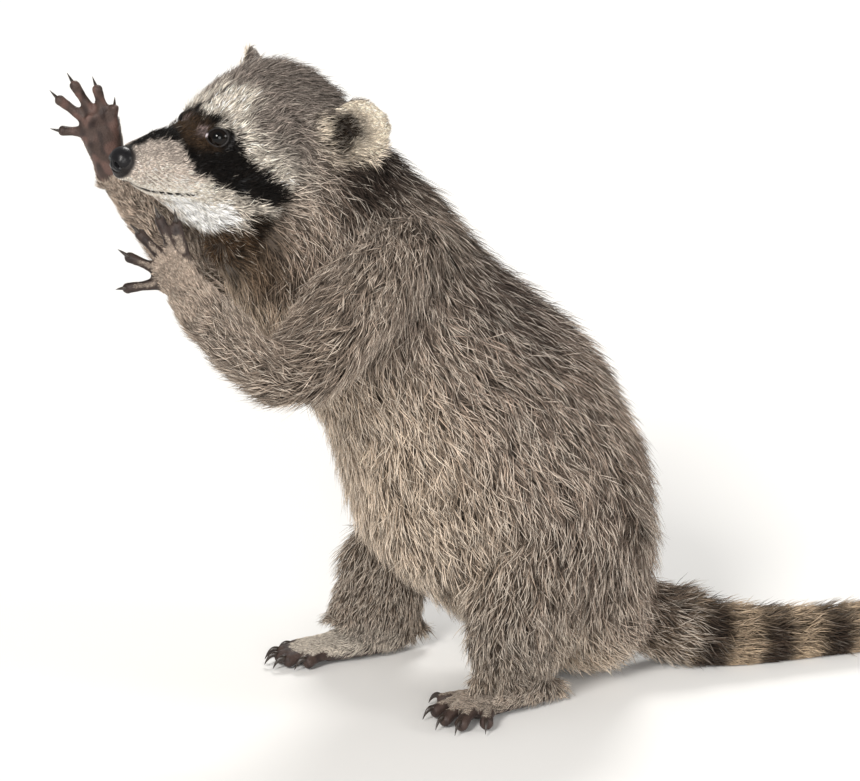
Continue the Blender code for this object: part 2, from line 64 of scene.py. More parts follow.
FLESH_NODES = ["head", "ear_l", "ear_r", "neck", "trunk"]
FLESH_NODES += ["tail_base", "tail_middle", "tail_end", "tail_tip"]
for side in "lr":
    FLESH_NODES += [name + "_" + side for name in ("upper_arm", "forearm", "thigh", "shank")]
EXTREMITIES = ["hand_l", "hand_r", "foot_l", "foot_r"]

# Colours as they look, each 0 to 255.
TONES = {
    "mask": (13, 10, 8),
    "cream": (240, 230, 216),
    "white": (255, 254, 250),
    "muzzle": (226, 212, 200),
    "crown": (138, 127, 119),
    "nape": (44, 34, 28),
    "back": (86, 75, 68),
    "flank": (147, 131, 118),
    "belly": (176, 158, 139),
    # Brown of the throat, made darker than its fur as painted shade under the jaw; shares of it also colour
    # the jowl and the brown before the eye.
    "brown_and_shade": (72, 56, 41),
    "arm": (159, 143, 129),
    "wrist": (164, 148, 134),
    "leg": (102, 89, 79),
    "tail": (86, 73, 61),
    "ring": (56, 45, 37),
    "tail_pale": (172, 152, 128),
    "ear_rim": (216, 203, 184),
    # Painted shade in the ear's opening.
    "ear_hollow_shade": (32, 23, 15),
    "skin": (66, 53, 48),
    "skin_dark": (44, 34, 32),
    "skin_rosy": (100, 76, 69),
    "lid": (122, 108, 106),
    "eye_corner": (186, 176, 180),
}

rng = np.random.default_rng(7)


def unit(vector):
    """Vectors scaled to a length of 1."""
    vector = np.asarray(vector, float)
    return vector / np.maximum(np.linalg.norm(vector, axis=-1, keepdims=True), 1e-9)


def linear(tone):
    """A colour as it looks, 0 to 255, turned into the linear values that shaders take."""
    value = np.asarray(tone, float) / 255
    return np.where(value < 0.04045, value / 12.92, ((value + 0.055) / 1.055) ** 2.4)


TONE = {name: linear(tone) for name, tone in TONES.items()}


def ease(value, low, high):
    """0 below low, 1 above high and smooth between."""
    t = np.clip((np.asarray(value, float) - low) / (high - low), 0, 1)
    return t * t * (3 - 2 * t)


def mix(first, second, share):
    """From the first (share 0) to the second (share 1), in a straight line."""
    return first + (second - first) * np.asarray(share)[..., None]


def wander(points, size, seed):
    """Smooth noise from about -1 to 1: a sum of sine waves about this long, in scattered directions."""
    draw = np.random.default_rng(seed)
    ways = unit(draw.normal(size=(8, 3))) * (2 * np.pi / size) * draw.uniform(0.6, 1.6, (8, 1))
    return np.sin(points @ ways.T + draw.uniform(0, 2 * np.pi, 8)).sum(1) / 2.8


def scatter_hash(cells, seed):
    """Three even random numbers for each whole-numbered cell, always the same for the same cell."""
    mixed = cells @ np.array([73856093, 19349663, 83492791]) + seed * 2654435761
    numbers = []
    for step in (1, 2, 3):
        mixed = (mixed ^ (mixed >> 13)) * (1274126177 + step) & 0x7FFFFFFFFFFF
        numbers.append((mixed >> 7 & 0xFFFFF) / 0xFFFFF)
    return np.stack(numbers, -1)


def nearest_seed(points, spacing, seed):
    """The nearest seed's place and two random numbers of it. One seed lies in each cube of this size."""
    home = np.floor(points / spacing[:, None]).astype(np.int64)
    best = np.full(len(points), np.inf)
    place = np.zeros_like(points)
    traits = np.zeros((len(points), 2))
    for offset in np.ndindex(3, 3, 3):
        cell = home + np.array(offset) - 1
        draw = scatter_hash(cell, seed)
        spot = (cell + draw) * spacing[:, None]
        away = ((points - spot) ** 2).sum(1)
        closer = away < best
        best[closer] = away[closer]
        place[closer] = spot[closer]
        traits[closer] = scatter_hash(cell, seed + 17)[closer, :2]
    return place, traits


# ---------------------------------------------------------------- places on the animal

F = unit(HEAD_FORWARD)
L = unit(HEAD_LEFT - F * np.dot(HEAD_LEFT, F))
U = np.cross(F, L)
eye_low, eye_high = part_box("eye_l")
EYE_LEFT = np.array((eye_low + eye_high) / 2) / MM
NOSE_TIP = EYE_LEFT + F * EYE_PLACE[0] - L * EYE_PLACE[1] - U * EYE_PLACE[2]
SHIFT = NOSE_TIP - NOSE_TIP_DRAWN


def on_head(back, side, up):
    """The point this far behind the nose tip, to the left and up."""
    return NOSE_TIP - F * back + L * side + U * up


def to_head(points):
    """How far behind the nose tip, to the left and up each point is."""
    away = points - NOSE_TIP
    return np.stack([-(away @ F), away @ L, away @ U], -1)


def head_row(back, up, radius, hair):
    """A station of the body's path that lies in the middle of the head."""
    return (*(on_head(back, 0, up) - SHIFT), radius, hair)


# Lines through the animal along which its coat lies: x, y, z, radius and length of hair.
PATHS = {
    "body": [
        head_row(0, -3, 7, 2.5),
        head_row(15, -3, 12, 3.0),
        head_row(30, -4, 16, 4.5),
        head_row(50, -3, 26, 6.0),
        head_row(70, 0, 42, 8.5),
        head_row(92, 4, 54, 12),
        head_row(110, 6, 58, 16),
        (-29, -68, 306, 56, 24),
        (-15, -49, 277, 62, 27),
        (-10, -26, 240, 72, 30),
        (-10, 0, 208, 77, 32),
        (-10, 24, 174, 84, 33),
        (-10, 42, 142, 88, 34),
        (-10, 74, 95, 86, 34),
        (-10, 98, 60, 70, 33),
        (-9, 122, 42, 45, 30),
        (-6, 146, 33, 29, 27),
        (3, 178, 22, 24, 25),
        (8, 212, 18, 20, 23),
        (8, 250, 16, 19, 22),
        (8, 292, 15.5, 19, 22),
        (8, 332, 14.5, 18, 22),
        (8, 362, 11, 13, 20),
        (8, 380, 7.5, 7, 15),
    ],
    "arm_l": [
        (14, -18, 292, 28, 27),
        (38, -46, 274, 32, 26),
        (54, -74, 248, 31, 25),
        (67, -102, 224, 26, 23),
        (69, -122, 231, 23, 21),
        (63, -142, 250, 20, 16),
        (57, -158, 269, 14, 8),
        (53.5, -162, 276.5, 11, 4.5),
        (44.5, -172.5, 290, 12, 3.2),
    ],
    "arm_r": [
        (-36, -20, 284, 26, 26),
        (-56, -50, 264, 29, 26),
        (-70, -78, 248, 29, 25),
        (-81, -101, 237, 24, 22),
        (-82, -120, 252, 20, 17),
        (-78, -146, 284, 16, 12),
        (-75, -167, 313, 12, 6),
        (-72.5, -176, 326, 10.5, 3.6),
        (-69, -184.5, 355.5, 12, 2.8),
    ],
    "leg_l": [
        (30, 98, 122, 41, 33),
        (44, 68, 104, 42, 32),
        (56, 38, 84, 36, 30),
        (62, 24, 68, 29, 27),
        (54, 37, 50, 30, 20),
        (46, 45, 34, 28, 15),
        (42, 48, 20, 22, 13),
        (45, 36, 11, 15, 10.5),
        (50, 20, 9, 15, 6.5),
        (52, 8, 8, 16, 4.2),
    ],
    "leg_r": [
        (-52, 84, 118, 40, 33),
        (-66, 50, 106, 40, 32),
        (-78, 18, 86, 33, 30),
        (-84, 2, 72, 28, 27),
        (-83, -1, 54, 28, 19),
        (-81, -6, 34, 27, 14),
        (-80, -11, 20, 22, 12),
        (-79, -21, 11, 15, 9.5),
        (-77, -36, 9, 15, 6.0),
        (-76, -46, 8, 16, 4.6),
    ],
}
EAR_ROOT, EAR_REACH = (119.0, 44.0, 31.0), 35.0
EAR_LAID_BACK = {"ear_l": 0.575, "ear_r": 0.75}
for name, laid_back in EAR_LAID_BACK.items():
    hand = 1 if name == "ear_l" else -1
    root = on_head(EAR_ROOT[0], hand * EAR_ROOT[1], EAR_ROOT[2]) - SHIFT
    along = unit(-laid_back * F + hand * 0.667 * L + 0.485 * U)
    PATHS[name] = [
        (*(root - along * 4), 17, 7.0),
        (*(root + along * EAR_REACH / 2), 19, 4.5),
        (*(root + along * EAR_REACH), 17, 3.2),
    ]

# Digits run from thumb or big toe to the little one: root, tip, claw tip. palm is the length of bare palm.
HANDS = {
    "l": {
        "wrist": (53.5, -162, 276.5),
        "knuckles": (44.5, -172.5, 290),
        "back": (0.917, -0.259, 0.304),
        "half_width": 14.5,
        "palm": 30,
        "digits": [
            ((45, -160.5, 293), (38, -164.5, 315), (34, -164, 320)),
            ((44, -166.5, 294), (36, -174.5, 317.5), (31, -175, 322)),
            ((44, -172.5, 292), (36.5, -187.5, 309.5), (31.5, -190.5, 312.5)),
            ((44.5, -176, 286.5), (38, -195, 295.5), (33, -198, 298.5)),
            ((46, -177, 279), (41, -197.5, 276.5), (36, -200.5, 275)),
        ],
    },
    "r": {
        "wrist": (-72.5, -176, 326),
        "knuckles": (-69, -184.5, 355.5),
        "back": (-0.93, 0.24, -0.28),
        "half_width": 14.5,
        "palm": 42,
        "digits": [
            ((-64, -176, 353), (-61, -175.5, 363.5), (-59.5, -175.5, 369)),
            ((-66, -180.5, 358), (-63.5, -186, 375.5), (-62.5, -188.5, 381.5)),
            ((-69.5, -187, 357.5), (-69.5, -199, 377.5), (-68.5, -202.5, 383.5)),
            ((-72, -191.5, 354), (-74.5, -208, 367.5), (-74, -212, 372.5)),
            ((-73, -192, 346), (-77.5, -206.5, 346.5), (-77, -212, 348.5)),
        ],
    },
}
TOE_HEIGHTS = 7.4, 4.3  # of a toe's root and tip over the floor
FEET = {
    "l": {
        "heel": (34, 74),
        "ball": (52, 8),
        "outward": (0.94, 0.34),
        "toes": [
            ((38, 8), (30, -5.5), (25, -9)),
            ((46, 3), (50.5, -16), (52, -21.5)),
            ((55, 3), (68, -15), (72, -20)),
            ((62, 7), (79.5, -7.7), (84.5, -12)),
            ((67, 15), (82.5, 8), (88, 6)),
        ],
    },
    "r": {
        "heel": (-81, 14),
        "ball": (-76, -46),
        "outward": (-0.99, -0.06),
        "toes": [
            ((-64, -46), (-58.2, -64), (-57.5, -70)),
            ((-69, -52), (-64.8, -75.5), (-64, -82)),
            ((-75, -54), (-73.4, -78.5), (-73, -85)),
            ((-81, -52), (-82.7, -75.5), (-83, -82)),
            ((-86, -46), (-91, -65.5), (-92, -72)),
        ],
    },
}


def along_path(points, branches):
    """Nearest place on a path with branches.

    Nine numbers for each point: distance over the path's radius there, millimetres along, length of hair,
    the path's way (three numbers) and the offset from it (three numbers).
    """
    nearest = np.full(len(points), np.inf)
    found = np.zeros((len(points), 9))
    for rows, begun in branches:
        rows = np.asarray(rows, float)
        rows[:, :3] += SHIFT
        lengths = np.linalg.norm(np.diff(rows[:, :3], axis=0), axis=1)
        starts = begun + np.concatenate([[0], np.cumsum(lengths)])
        bends = unit(np.gradient(rows[:, :3], axis=0))
        for i, length in enumerate(lengths):
            a, b = rows[i], rows[i + 1]
            t = np.clip((points - a[:3]) @ (b[:3] - a[:3]) / length**2, 0, 1)
            offset = points - (a[:3] + t[:, None] * (b[:3] - a[:3]))
            away = np.linalg.norm(offset, axis=1) / (a[3] + (b[3] - a[3]) * t)
            near = away < nearest
            nearest[near] = away[near]
            way = mix(bends[i], bends[i + 1], t)
            row = np.column_stack([away, starts[i] + t * length, a[4] + (b[4] - a[4]) * t, way, offset])
            found[near] = row[near]
    return found


def path_place(rows, index):
    """Millimetres along a path at its station of this number."""
    rows = np.asarray(rows, float)
    return np.linalg.norm(np.diff(rows[: index + 1, :3], axis=0), axis=1).sum()


def with_digits(name):
    """A path and, on an arm or leg, the short paths of its digits, each with the length where it begins."""
    rows = PATHS[name]
    branches = [(rows, 0.0)]
    if name[:3] not in ("arm", "leg"):
        return branches
    reach = path_place(rows, len(rows) - 1)
    if name[:3] == "arm":
        digits = [(root, tip) for root, tip, _ in HANDS[name[-1]]["digits"]]
    else:
        low = TOE_HEIGHTS
        digits = [((*root, low[0]), (*tip, low[1])) for root, tip, _ in FEET[name[-1]]["toes"]]
    for root, tip in digits:
        branches.append(([(*root, 6.0, 2.6), (*tip, 4.6, 1.8)], reach))
    return branches


class Lie:
    """How the coat lies at many points: each path's share, length of hair, way, and place along each path.

    A path's share falls off as the bell curve of how much further it is than the nearest one. Hair is the
    mean of the paths' hair by those shares, shortened round the eyes, at the mouth and above the floor.
    """

    def __init__(self, points):
        self.points = points
        found = {name: along_path(points, with_digits(name)) for name in PATHS}
        nearest = np.min([one[:, 0] for one in found.values()], axis=0)
        weights = {name: np.exp(-(((one[:, 0] - nearest) / 0.3) ** 2)) for name, one in found.items()}
        total = sum(weights.values())
        self.share = {name: weight / total for name, weight in weights.items()}
        self.place = {name: one[:, 1] for name, one in found.items()}
        self.offset = {name: one[:, 6:9] for name, one in found.items()}
        self.hair = sum(self.share[name] * one[:, 2] for name, one in found.items())
        self.way = unit(sum(self.share[name][:, None] * one[:, 3:6] for name, one in found.items()))
        for hand in (1, -1):
            measure, radius, _, _, _ = opening(points, hand)
            near = np.where(radius < EYE_RADIUS + 12, measure, 9.0)
            self.hair = self.hair * (0.34 + 0.66 * ease(near, 1.0, 1.9))
        self.hair = self.hair * (0.5 + 0.5 * ease(mouth_distance(to_head(points))[0], 1.5, 6.0))
        self.hair = self.hair * (0.35 + 0.65 * ease(front_lip_distance(to_head(points)), 2.0, 5.0))
        legs = self.share["leg_l"] + self.share["leg_r"]
        height = np.maximum(points[:, 2], 0)
        self.hair = np.minimum(self.hair, 7 + height - legs * (3.0 + 0.45 * height))


def coat_depth(hair):
    """How high hair of this length stands over the skin, lying back: short hair lies flatter."""
    return 0.42 * hair**2 / (hair + 6)


# ---------------------------------------------------------------- meshes from arrays


def make_mesh(name, points, faces):
    """A mesh object from points in millimetres and one array of faces of equal length."""
    faces = np.asarray(faces, np.int32)
    mesh = bpy.data.meshes.new(name)
    mesh.vertices.add(len(points))
    mesh.vertices.foreach_set("co", (np.asarray(points, float) * MM).astype(np.float32).ravel())
    mesh.loops.add(faces.size)
    mesh.loops.foreach_set("vertex_index", faces.ravel())
    mesh.polygons.add(len(faces))
    mesh.polygons.foreach_set("loop_start", np.arange(len(faces), dtype=np.int32) * faces.shape[1])
    mesh.update(calc_edges=True)
    mesh.shade_smooth()
    made = bpy.data.objects.new(name, mesh)
    bpy.context.scene.collection.objects.link(made)
    return made


def numbers(items, key, kind, width=1):
    """One value of every item of a mesh as an array, in rows of this width."""
    values = np.empty(len(items) * width, kind)
    items.foreach_get(key, values)
    return values.reshape(-1, width) if width > 1 else values


def points_of(mesh):
    """The mesh's points in millimetres."""
    return numbers(mesh.vertices, "co", np.float32, 3).astype(float) / MM


def set_points(mesh, points):
    """Moves the mesh's points to these, in millimetres."""
    mesh.vertices.foreach_set("co", (points * MM).astype(np.float32).ravel())
    mesh.update()


def normals_of(mesh):
    """The way outwards at each of the mesh's points."""
    return numbers(mesh.vertex_normals, "vector", np.float32, 3).astype(float)


def grid_faces(rows, columns):
    """Triangles of a grid closed round its columns, its first and last rows closed by a point each."""
    here = np.arange(columns)
    after = (here + 1) % columns
    faces = []
    for row in range(rows - 1):
        low, high = row * columns, (row + 1) * columns
        faces.append(np.stack([low + here, low + after, high + after], 1))
        faces.append(np.stack([low + here, high + after, high + here], 1))
    start, end = rows * columns, rows * columns + 1
    faces.append(np.stack([after, here, np.full(columns, start)], 1))
    last = (rows - 1) * columns
    faces.append(np.stack([last + here, last + after, np.full(columns, end)], 1))
    return np.vstack(faces)


def tube(path, wide, deep, side, columns):
    """An ellipse carried along a path: wide along side, deep across it, with a point closing each end."""
    path = np.asarray(path, float)
    ahead = unit(np.gradient(path, axis=0))
    across = unit(side - ahead * (ahead @ np.asarray(side))[:, None])
    top = np.cross(ahead, across)
    angle = np.linspace(0, 2 * np.pi, columns, endpoint=False)
    ring = (np.cos(angle)[None, :] * np.asarray(wide)[:, None])[..., None] * across[:, None, :]
    ring = ring + (np.sin(angle)[None, :] * np.asarray(deep)[:, None])[..., None] * top[:, None, :]
    points = (path[:, None, :] + ring).reshape(-1, 3)
    ends = [path[0] - ahead[0] * 0.2 * wide[0], path[-1] + ahead[-1] * 0.2 * wide[-1]]
    return np.vstack([points, ends]), grid_faces(len(path), columns)


def joined(shapes):
    """Several (points, faces) as one."""
    points, faces, count = [], [], 0
    for more, corners in shapes:
        points.append(more)
        faces.append(corners + count)
        count += len(more)
    return np.vstack(points), np.vstack(faces)


def bent(start, end, sag, steps):
    """Points from start to end, bowed by sag in the middle."""
    t = np.linspace(0, 1, steps)[:, None]
    return np.asarray(start) * (1 - t) + np.asarray(end) * t + np.asarray(sag) * 4 * t * (1 - t)


def ball(centre, axes, radii, rows=14, columns=20):
    """An ellipsoid of these half lengths along these axes."""
    lift = np.linspace(-np.pi / 2, np.pi / 2, rows + 2)[1:-1]
    turn = np.linspace(0, 2 * np.pi, columns, endpoint=False)
    around = np.cos(lift)[:, None] * np.stack([np.cos(turn), np.sin(turn)], 0)[:, None, :]
    shape = np.stack([around[0], around[1], np.broadcast_to(np.sin(lift)[:, None], around[0].shape)], -1)
    shape = np.vstack([shape.reshape(-1, 3), [[0, 0, -1], [0, 0, 1]]])
    return np.asarray(centre) + (shape * np.asarray(radii)) @ np.asarray(axes), grid_faces(rows, columns)


# ---------------------------------------------------------------- hands and feet


def digit_shape(root, tip, thick, palm):
    """A finger: a tube waisted between its joints, with a soft pad under its tip and a round end.

    The joints and the pad are bell curves added to the radius, and the end is a quarter of an ellipse.
    """
    root, tip = np.asarray(root, float), np.asarray(tip, float)
    ahead = unit(tip - root)
    start = root - ahead * 5
    t = np.sin(np.linspace(0, np.pi / 2, 26))
    path = start + (tip - start) * t[:, None] - palm * (3.6 * t * (1 - t))[:, None]
    joints = 0.10 * np.exp(-(((t - 0.42) / 0.10) ** 2)) + 0.08 * np.exp(-(((t - 0.70) / 0.08) ** 2))
    pad = 0.16 * np.exp(-(((t - 0.90) / 0.10) ** 2))
    radius = thick * (1.0 - 0.30 * ease(t, 0.0, 0.5) + joints + pad)
    radius = radius * np.sqrt(np.clip(1 - ((t - 0.86) / 0.142).clip(0) ** 2, 0.02, 1))
    path = path + palm * (0.5 * pad * thick)[:, None]
    return tube(path, radius, radius * 0.95, np.cross(ahead, palm), 18)


# Pads of the palm: share of the way from wrist to knuckles, share of the half width aside, and radius.
PALM_PADS = [(0.72, -0.62, 4.6), (0.95, -0.2, 4.2), (0.92, 0.35, 4.2), (0.45, 0.55, 4.8)]


def hand_shapes(plan):
    """Wrist and palm as one tube, pads on the palm's side, and five fingers."""
    wrist = np.asarray(plan["wrist"], float) + SHIFT
    knuckles = np.asarray(plan["knuckles"], float) + SHIFT
    back = unit(plan["back"])
    ahead = unit(knuckles - wrist)
    across = np.cross(ahead, back)
    wide = plan["half_width"]
    t = np.linspace(0, 1, 16)
    path = (wrist - ahead * 14) * (1 - t)[:, None] + (knuckles + ahead * 1.0) * t[:, None]
    half = np.interp(t, [0, 0.35, 0.62, 0.85, 1], [0.78, 0.72, 0.84, 0.93, 0.70]) * wide
    deep = np.interp(t, [0, 0.35, 0.6, 0.85, 1], [9.8, 8.6, 7.4, 5.8, 3.6])
    shapes = [tube(path, half, deep, across, 28)]
    for along_palm, aside, radius in PALM_PADS:
        place = wrist + (knuckles - wrist) * along_palm + across * wide * aside - back * (deep[8] * 0.62)
        shapes.append(ball(place, (ahead, across, back), (radius * 1.15, radius, 3.0)))
    for number, (root, tip, _) in enumerate(plan["digits"]):
        thick = 4.4 if number else 4.1
        shapes.append(digit_shape(np.add(root, SHIFT), np.add(tip, SHIFT), thick, -back))
    return shapes


def foot_shapes(plan):
    """A long sole as a tube, flat on the floor, and five toes."""
    heel = np.array([*plan["heel"], 0.0]) + SHIFT
    ball_place = np.array([*plan["ball"], 0.0]) + SHIFT
    ahead = unit(ball_place - heel)
    across = np.array([*plan["outward"], 0.0])
    t = np.linspace(0, 1, 18)
    path = heel * (1 - t)[:, None] + (ball_place + ahead * 2) * t[:, None]
    half = np.interp(t, [0, 0.06, 0.2, 0.5, 0.8, 1], [5, 9.5, 12.4, 14.6, 16.6, 14.5])
    high = np.interp(t, [0, 0.06, 0.2, 0.5, 0.8, 1], [10, 18, 21.5, 20.5, 16.5, 11])
    path = path + UP * (high / 2 - 0.6)[:, None]
    shapes = [tube(path, half, high / 2, across, 28)]
    for root, tip, _ in plan["toes"]:
        start = np.array([*root, TOE_HEIGHTS[0]]) + SHIFT
        end = np.array([*tip, TOE_HEIGHTS[1]]) + SHIFT
        shapes.append(digit_shape(start, end, 5.7, -UP))
    return shapes


def claw_shape(base, tip, droop, radius):
    """A hook: a tube of shrinking radius, bowed against droop, deeper than it is wide."""
    steps = 9
    t = np.linspace(0, 1, steps)
    length = np.linalg.norm(np.subtract(tip, base))
    path = bent(base, tip, -np.asarray(droop) * 0.27 * length, steps)
    wide = radius * (1 - t**1.6) + 0.14
    return tube(path, wide * 0.8, wide * 1.15, np.cross(unit(np.subtract(tip, base)), droop), 10)


def claws():
    """Five claws for each hand and foot, each set one piece."""
    horn = horn_material()
    for hand, plan in HANDS.items():
        back = unit(plan["back"])
        shapes = []
        for root, tip, claw_tip in plan["digits"]:
            root, tip, claw_tip = (np.add(place, SHIFT) for place in (root, tip, claw_tip))
            base = tip - unit(tip - root) * 3.0 + back * 1.6
            shapes.append(claw_shape(base, tip + (claw_tip - tip) * 0.8, -back, 1.35))
        finish_piece(make_mesh("claws_hand_" + hand, *joined(shapes)), horn)
    for foot, plan in FEET.items():
        shapes = []
        for root, tip, claw_tip in plan["toes"]:
            root = np.array([*root, 8.0]) + SHIFT
            tip = np.array([*tip, 4.6]) + SHIFT
            base = tip - unit(tip - root) * 2.0 + UP * 1.6
            shapes.append(claw_shape(base, np.array([*claw_tip, 1.2]) + SHIFT, -UP, 1.75))
        finish_piece(make_mesh("claws_foot_" + foot, *joined(shapes)), horn)


# ---------------------------------------------------------------- the skin

VOXEL = 1.15  # grain of the surface that joins all flesh into one
SKIN_TRIANGLES = 170000  # about how many are left before the face gets more


def merged_copy(node, swell):
    """(points, triangles) of a CAD node with its doubled corners merged, grown outwards by swell."""
    shape = bmesh.new()
    shape.from_mesh(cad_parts[node].data)
    bmesh.ops.remove_doubles(shape, verts=shape.verts, dist=1e-6)
    bmesh.ops.triangulate(shape, faces=shape.faces)
    mesh = bpy.data.meshes.new("copy")
    shape.to_mesh(mesh)
    shape.free()
    points = points_of(mesh) + normals_of(mesh) * swell
    faces = numbers(mesh.loops, "vertex_index", np.int32).reshape(-1, 3)
    bpy.data.meshes.remove(mesh)
    return points, faces


def apply_modifiers(piece):
    """Replaces a piece's mesh by the one that its modifiers make."""
    bpy.context.view_layer.update()
    done = bpy.data.meshes.new_from_object(piece.evaluated_get(bpy.context.evaluated_depsgraph_get()))
    piece.modifiers.clear()
    piece.data = done


def relaxed(points, edges, share, rounds):
    """Moves each point by its share towards the mean of its neighbours, this many times."""
    count = len(points)
    a, b = edges[:, 0], edges[:, 1]
    degree = np.maximum(np.bincount(a, minlength=count) + np.bincount(b, minlength=count), 1)
    for _ in range(rounds):
        means = np.empty_like(points)
        for k in range(points.shape[1]):
            near = np.bincount(a, points[b, k], count) + np.bincount(b, points[a, k], count)
            means[:, k] = near / degree
        points = points + (means - points) * share
    return points


def gaze(hand):
    """Way in which the left (1) or right (-1) eye looks."""
    return unit(0.66 * F + hand * 0.66 * L + 0.30 * U)


def eye_centre(hand):
    """Middle of the eyeball."""
    sunk, inwards = EYE_SUNK[hand]
    back, up = EYE_PLACE[0] + EYE_MOVED[0], EYE_PLACE[2] + EYE_MOVED[1]
    return on_head(back, hand * (EYE_PLACE[1] - inwards), up) - gaze(hand) * sunk


def opening(points, hand):
    """How far out of the eye's opening each point is: 0 at its middle, 1 at the lids' edge.

    It also gives the distance and offset from the ball's centre, and places along and up the lids.
    """
    centre, look = eye_centre(hand), gaze(hand)
    level = unit(-F * 0.75 + hand * L * 0.66 + U * 0.10)
    level = unit(level - look * np.dot(level, look))
    upright = np.cross(level, look) * hand
    away = points - centre
    radius = np.linalg.norm(away, axis=1)
    ahead = away / np.maximum(radius, 1e-6)[:, None]
    arc = EYE_RADIUS * np.arccos(np.clip(ahead @ look, -1, 1))
    flat = unit(ahead - np.outer(ahead @ look, look)) * arc[:, None]
    along, high = flat @ level, flat @ upright
    half = np.where(along > 0, 6.0, 7.6)
    tall = np.where(high > 0, 5.3, 5.0) * (1 - 0.35 * np.clip(-along / 7.6, 0, 1) ** 2)
    return np.hypot(along / half, high / tall), radius, away, along, high


# The mouth's line on either side, and its front. Distance to it counts less sideways, and to its front less
# backwards, as if it were seen nearly from the side and nearly from in front.
MOUTH = [
    (7.5, 0, -12.6), (9.5, 4.5, -13.2), (15, 5.5, -16.5), (23.5, 7.5, -17.8),
    (34, 13.5, -17.2), (44, 20.5, -15.2), (49, 24, -13.0),
]
SIDEWAYS_COUNTS = [1, 0.3, 1]
FRONT_LIP = [(10, 0, -15.6), (10, 3, -16.4), (12, 6, -17.0)]
BACKWARDS_COUNTS = [0.2, 1, 1]


def nose_distance(head_points):
    """Distance to the middle of the nose, as a share of its radius."""
    return np.linalg.norm((head_points - [6.5, 0, -2.5]) / [8.2, 8.6, 8.6], axis=1)


def line_distance(points, line):
    """Distance to a line through the given places, and how far along it, 0 to 1."""
    nearest = np.full(len(points), np.inf)
    along = np.zeros(len(points))
    for i in range(len(line) - 1):
        step = line[i + 1] - line[i]
        t = np.clip((points - line[i]) @ step / (step @ step), 0, 1)
        away = np.linalg.norm(points - line[i] - t[:, None] * step, axis=1)
        near = away < nearest
        nearest[near] = away[near]
        along[near] = (i + t[near]) / (len(line) - 1)
    return nearest, along


def mirrored(head_points):
    """The places on the head, all brought to the left side."""
    return head_points * [1, 0, 1] + np.abs(head_points) * [0, 1, 0]


def front_lip_distance(head_points):
    """Distance to the front of the mouth's line, as seen from in front."""
    line = np.array(FRONT_LIP, float) * BACKWARDS_COUNTS
    return line_distance(mirrored(head_points) * BACKWARDS_COUNTS, line)[0]


def mouth_distance(head_points):
    """Distance to the mouth's line, its sides as seen from the side, and how far along it, 0 to 1."""
    line = np.array(MOUTH, float) * SIDEWAYS_COUNTS
    distance, along = line_distance(mirrored(head_points) * SIDEWAYS_COUNTS, line)
    return np.minimum(distance, front_lip_distance(head_points)), along


# Where the skin is raised under the coat, or sunk: place, reach and height. On the head the place is given
# in the head's own axes.
SWELLS = [
    (-12, 25, 285, 38, 5.0), (-10, 88, 227, 32, 2.5), (62, -163, 252, 20, 1.0), (68, -148, 232, 16, 0.5),
    (70, -127, 209, 16, -4.0), (20, -80, 180, 24, 5.0), (-66, -31, 92, 22, 5.0),
    (-79, -26, 20, 14, 3.5), (-6, -112, 292, 26, 3.0),
]
HEAD_SWELLS = [
    (26, 0, 10, 9, 1.8), (38, 0, 13, 11, 2.4), (112, 16, 52, 24, -6.5), (72, -6, 42, 16, -2.5),
    (82, 14, -44, 30, 7.0), (98, -28, 56, 16, 3.0), (52, -22, 20, 10, -2.0),
    (17, 10, -8, 8, 1.2), (17, -10, -8, 8, 1.2),
]


def swollen(points, normals):
    """Points moved along their normals by the sum of all swells, each a bell curve of its reach."""
    rise = np.zeros(len(points))
    places = [(np.add(row[:3], SHIFT), *row[3:]) for row in SWELLS]
    places += [(on_head(*row[:3]), *row[3:]) for row in HEAD_SWELLS]
    for place, reach, height in places:
        rise += height * np.exp(-(((points - place) ** 2).sum(1)) / reach**2)
    return points + normals * rise[:, None]


def shape_face(points, normals):
    """Lids round the eyeballs, and the mouth's groove between soft lips.

    Within the eye's opening the skin is drawn in behind the ball, at the opening's edge it stands on the ball
    with a rim, and further out it slopes away. Groove and lips are bell curves of the distance to the mouth.
    """
    points = points.copy()
    for hand in (1, -1):
        measure, radius, away, _, _ = opening(points, hand)
        inside = 1 - ease(measure, 0.92, 1.04)
        lid = (1 - inside) * (1 - ease(measure, 1.15, 1.75))
        rim = EYE_RADIUS + 0.35 + 0.35 * np.exp(-(((measure - 1.13) / 0.10) ** 2))
        target = radius * (1 - inside - lid) + (EYE_RADIUS - 2.2) * inside + rim * lid
        sloping = EYE_RADIUS + 0.5 - 1.0 * np.clip(measure - 1.2, 0, 9)
        target = np.where(measure > 1.05, np.maximum(target, sloping), target)
        target = np.where((radius < EYE_RADIUS + 8) & (measure < 3.0), target, radius)
        points = points + away / np.maximum(radius, 1e-6)[:, None] * (target - radius)[:, None]
    distance, along = mouth_distance(to_head(points))
    fade = 1 - ease(along, 0.93, 1.0)
    groove = -2.4 * np.exp(-((distance / 1.2) ** 2)) * fade
    lips = 0.7 * np.exp(-(((distance - 2.6) / 1.5) ** 2)) * fade
    return points + normals * (groove + lips)[:, None]


def refine_near(mesh, places, reach):
    """Divides the edges near these places once."""
    shape = bmesh.new()
    shape.from_mesh(mesh)
    points = points_of(mesh)
    near = np.zeros(len(points), bool)
    for place in places:
        near |= np.linalg.norm(points - place, axis=1) < reach
    shape.edges.ensure_lookup_table()
    ends = numbers(mesh.edges, "vertices", np.int32, 2)
    chosen = np.flatnonzero(near[ends].all(1))
    bmesh.ops.subdivide_edges(shape, edges=[shape.edges[i] for i in chosen], cuts=1, use_grid_fill=True)
    bmesh.ops.triangulate(shape, faces=shape.faces)
    shape.to_mesh(mesh)
    shape.free()


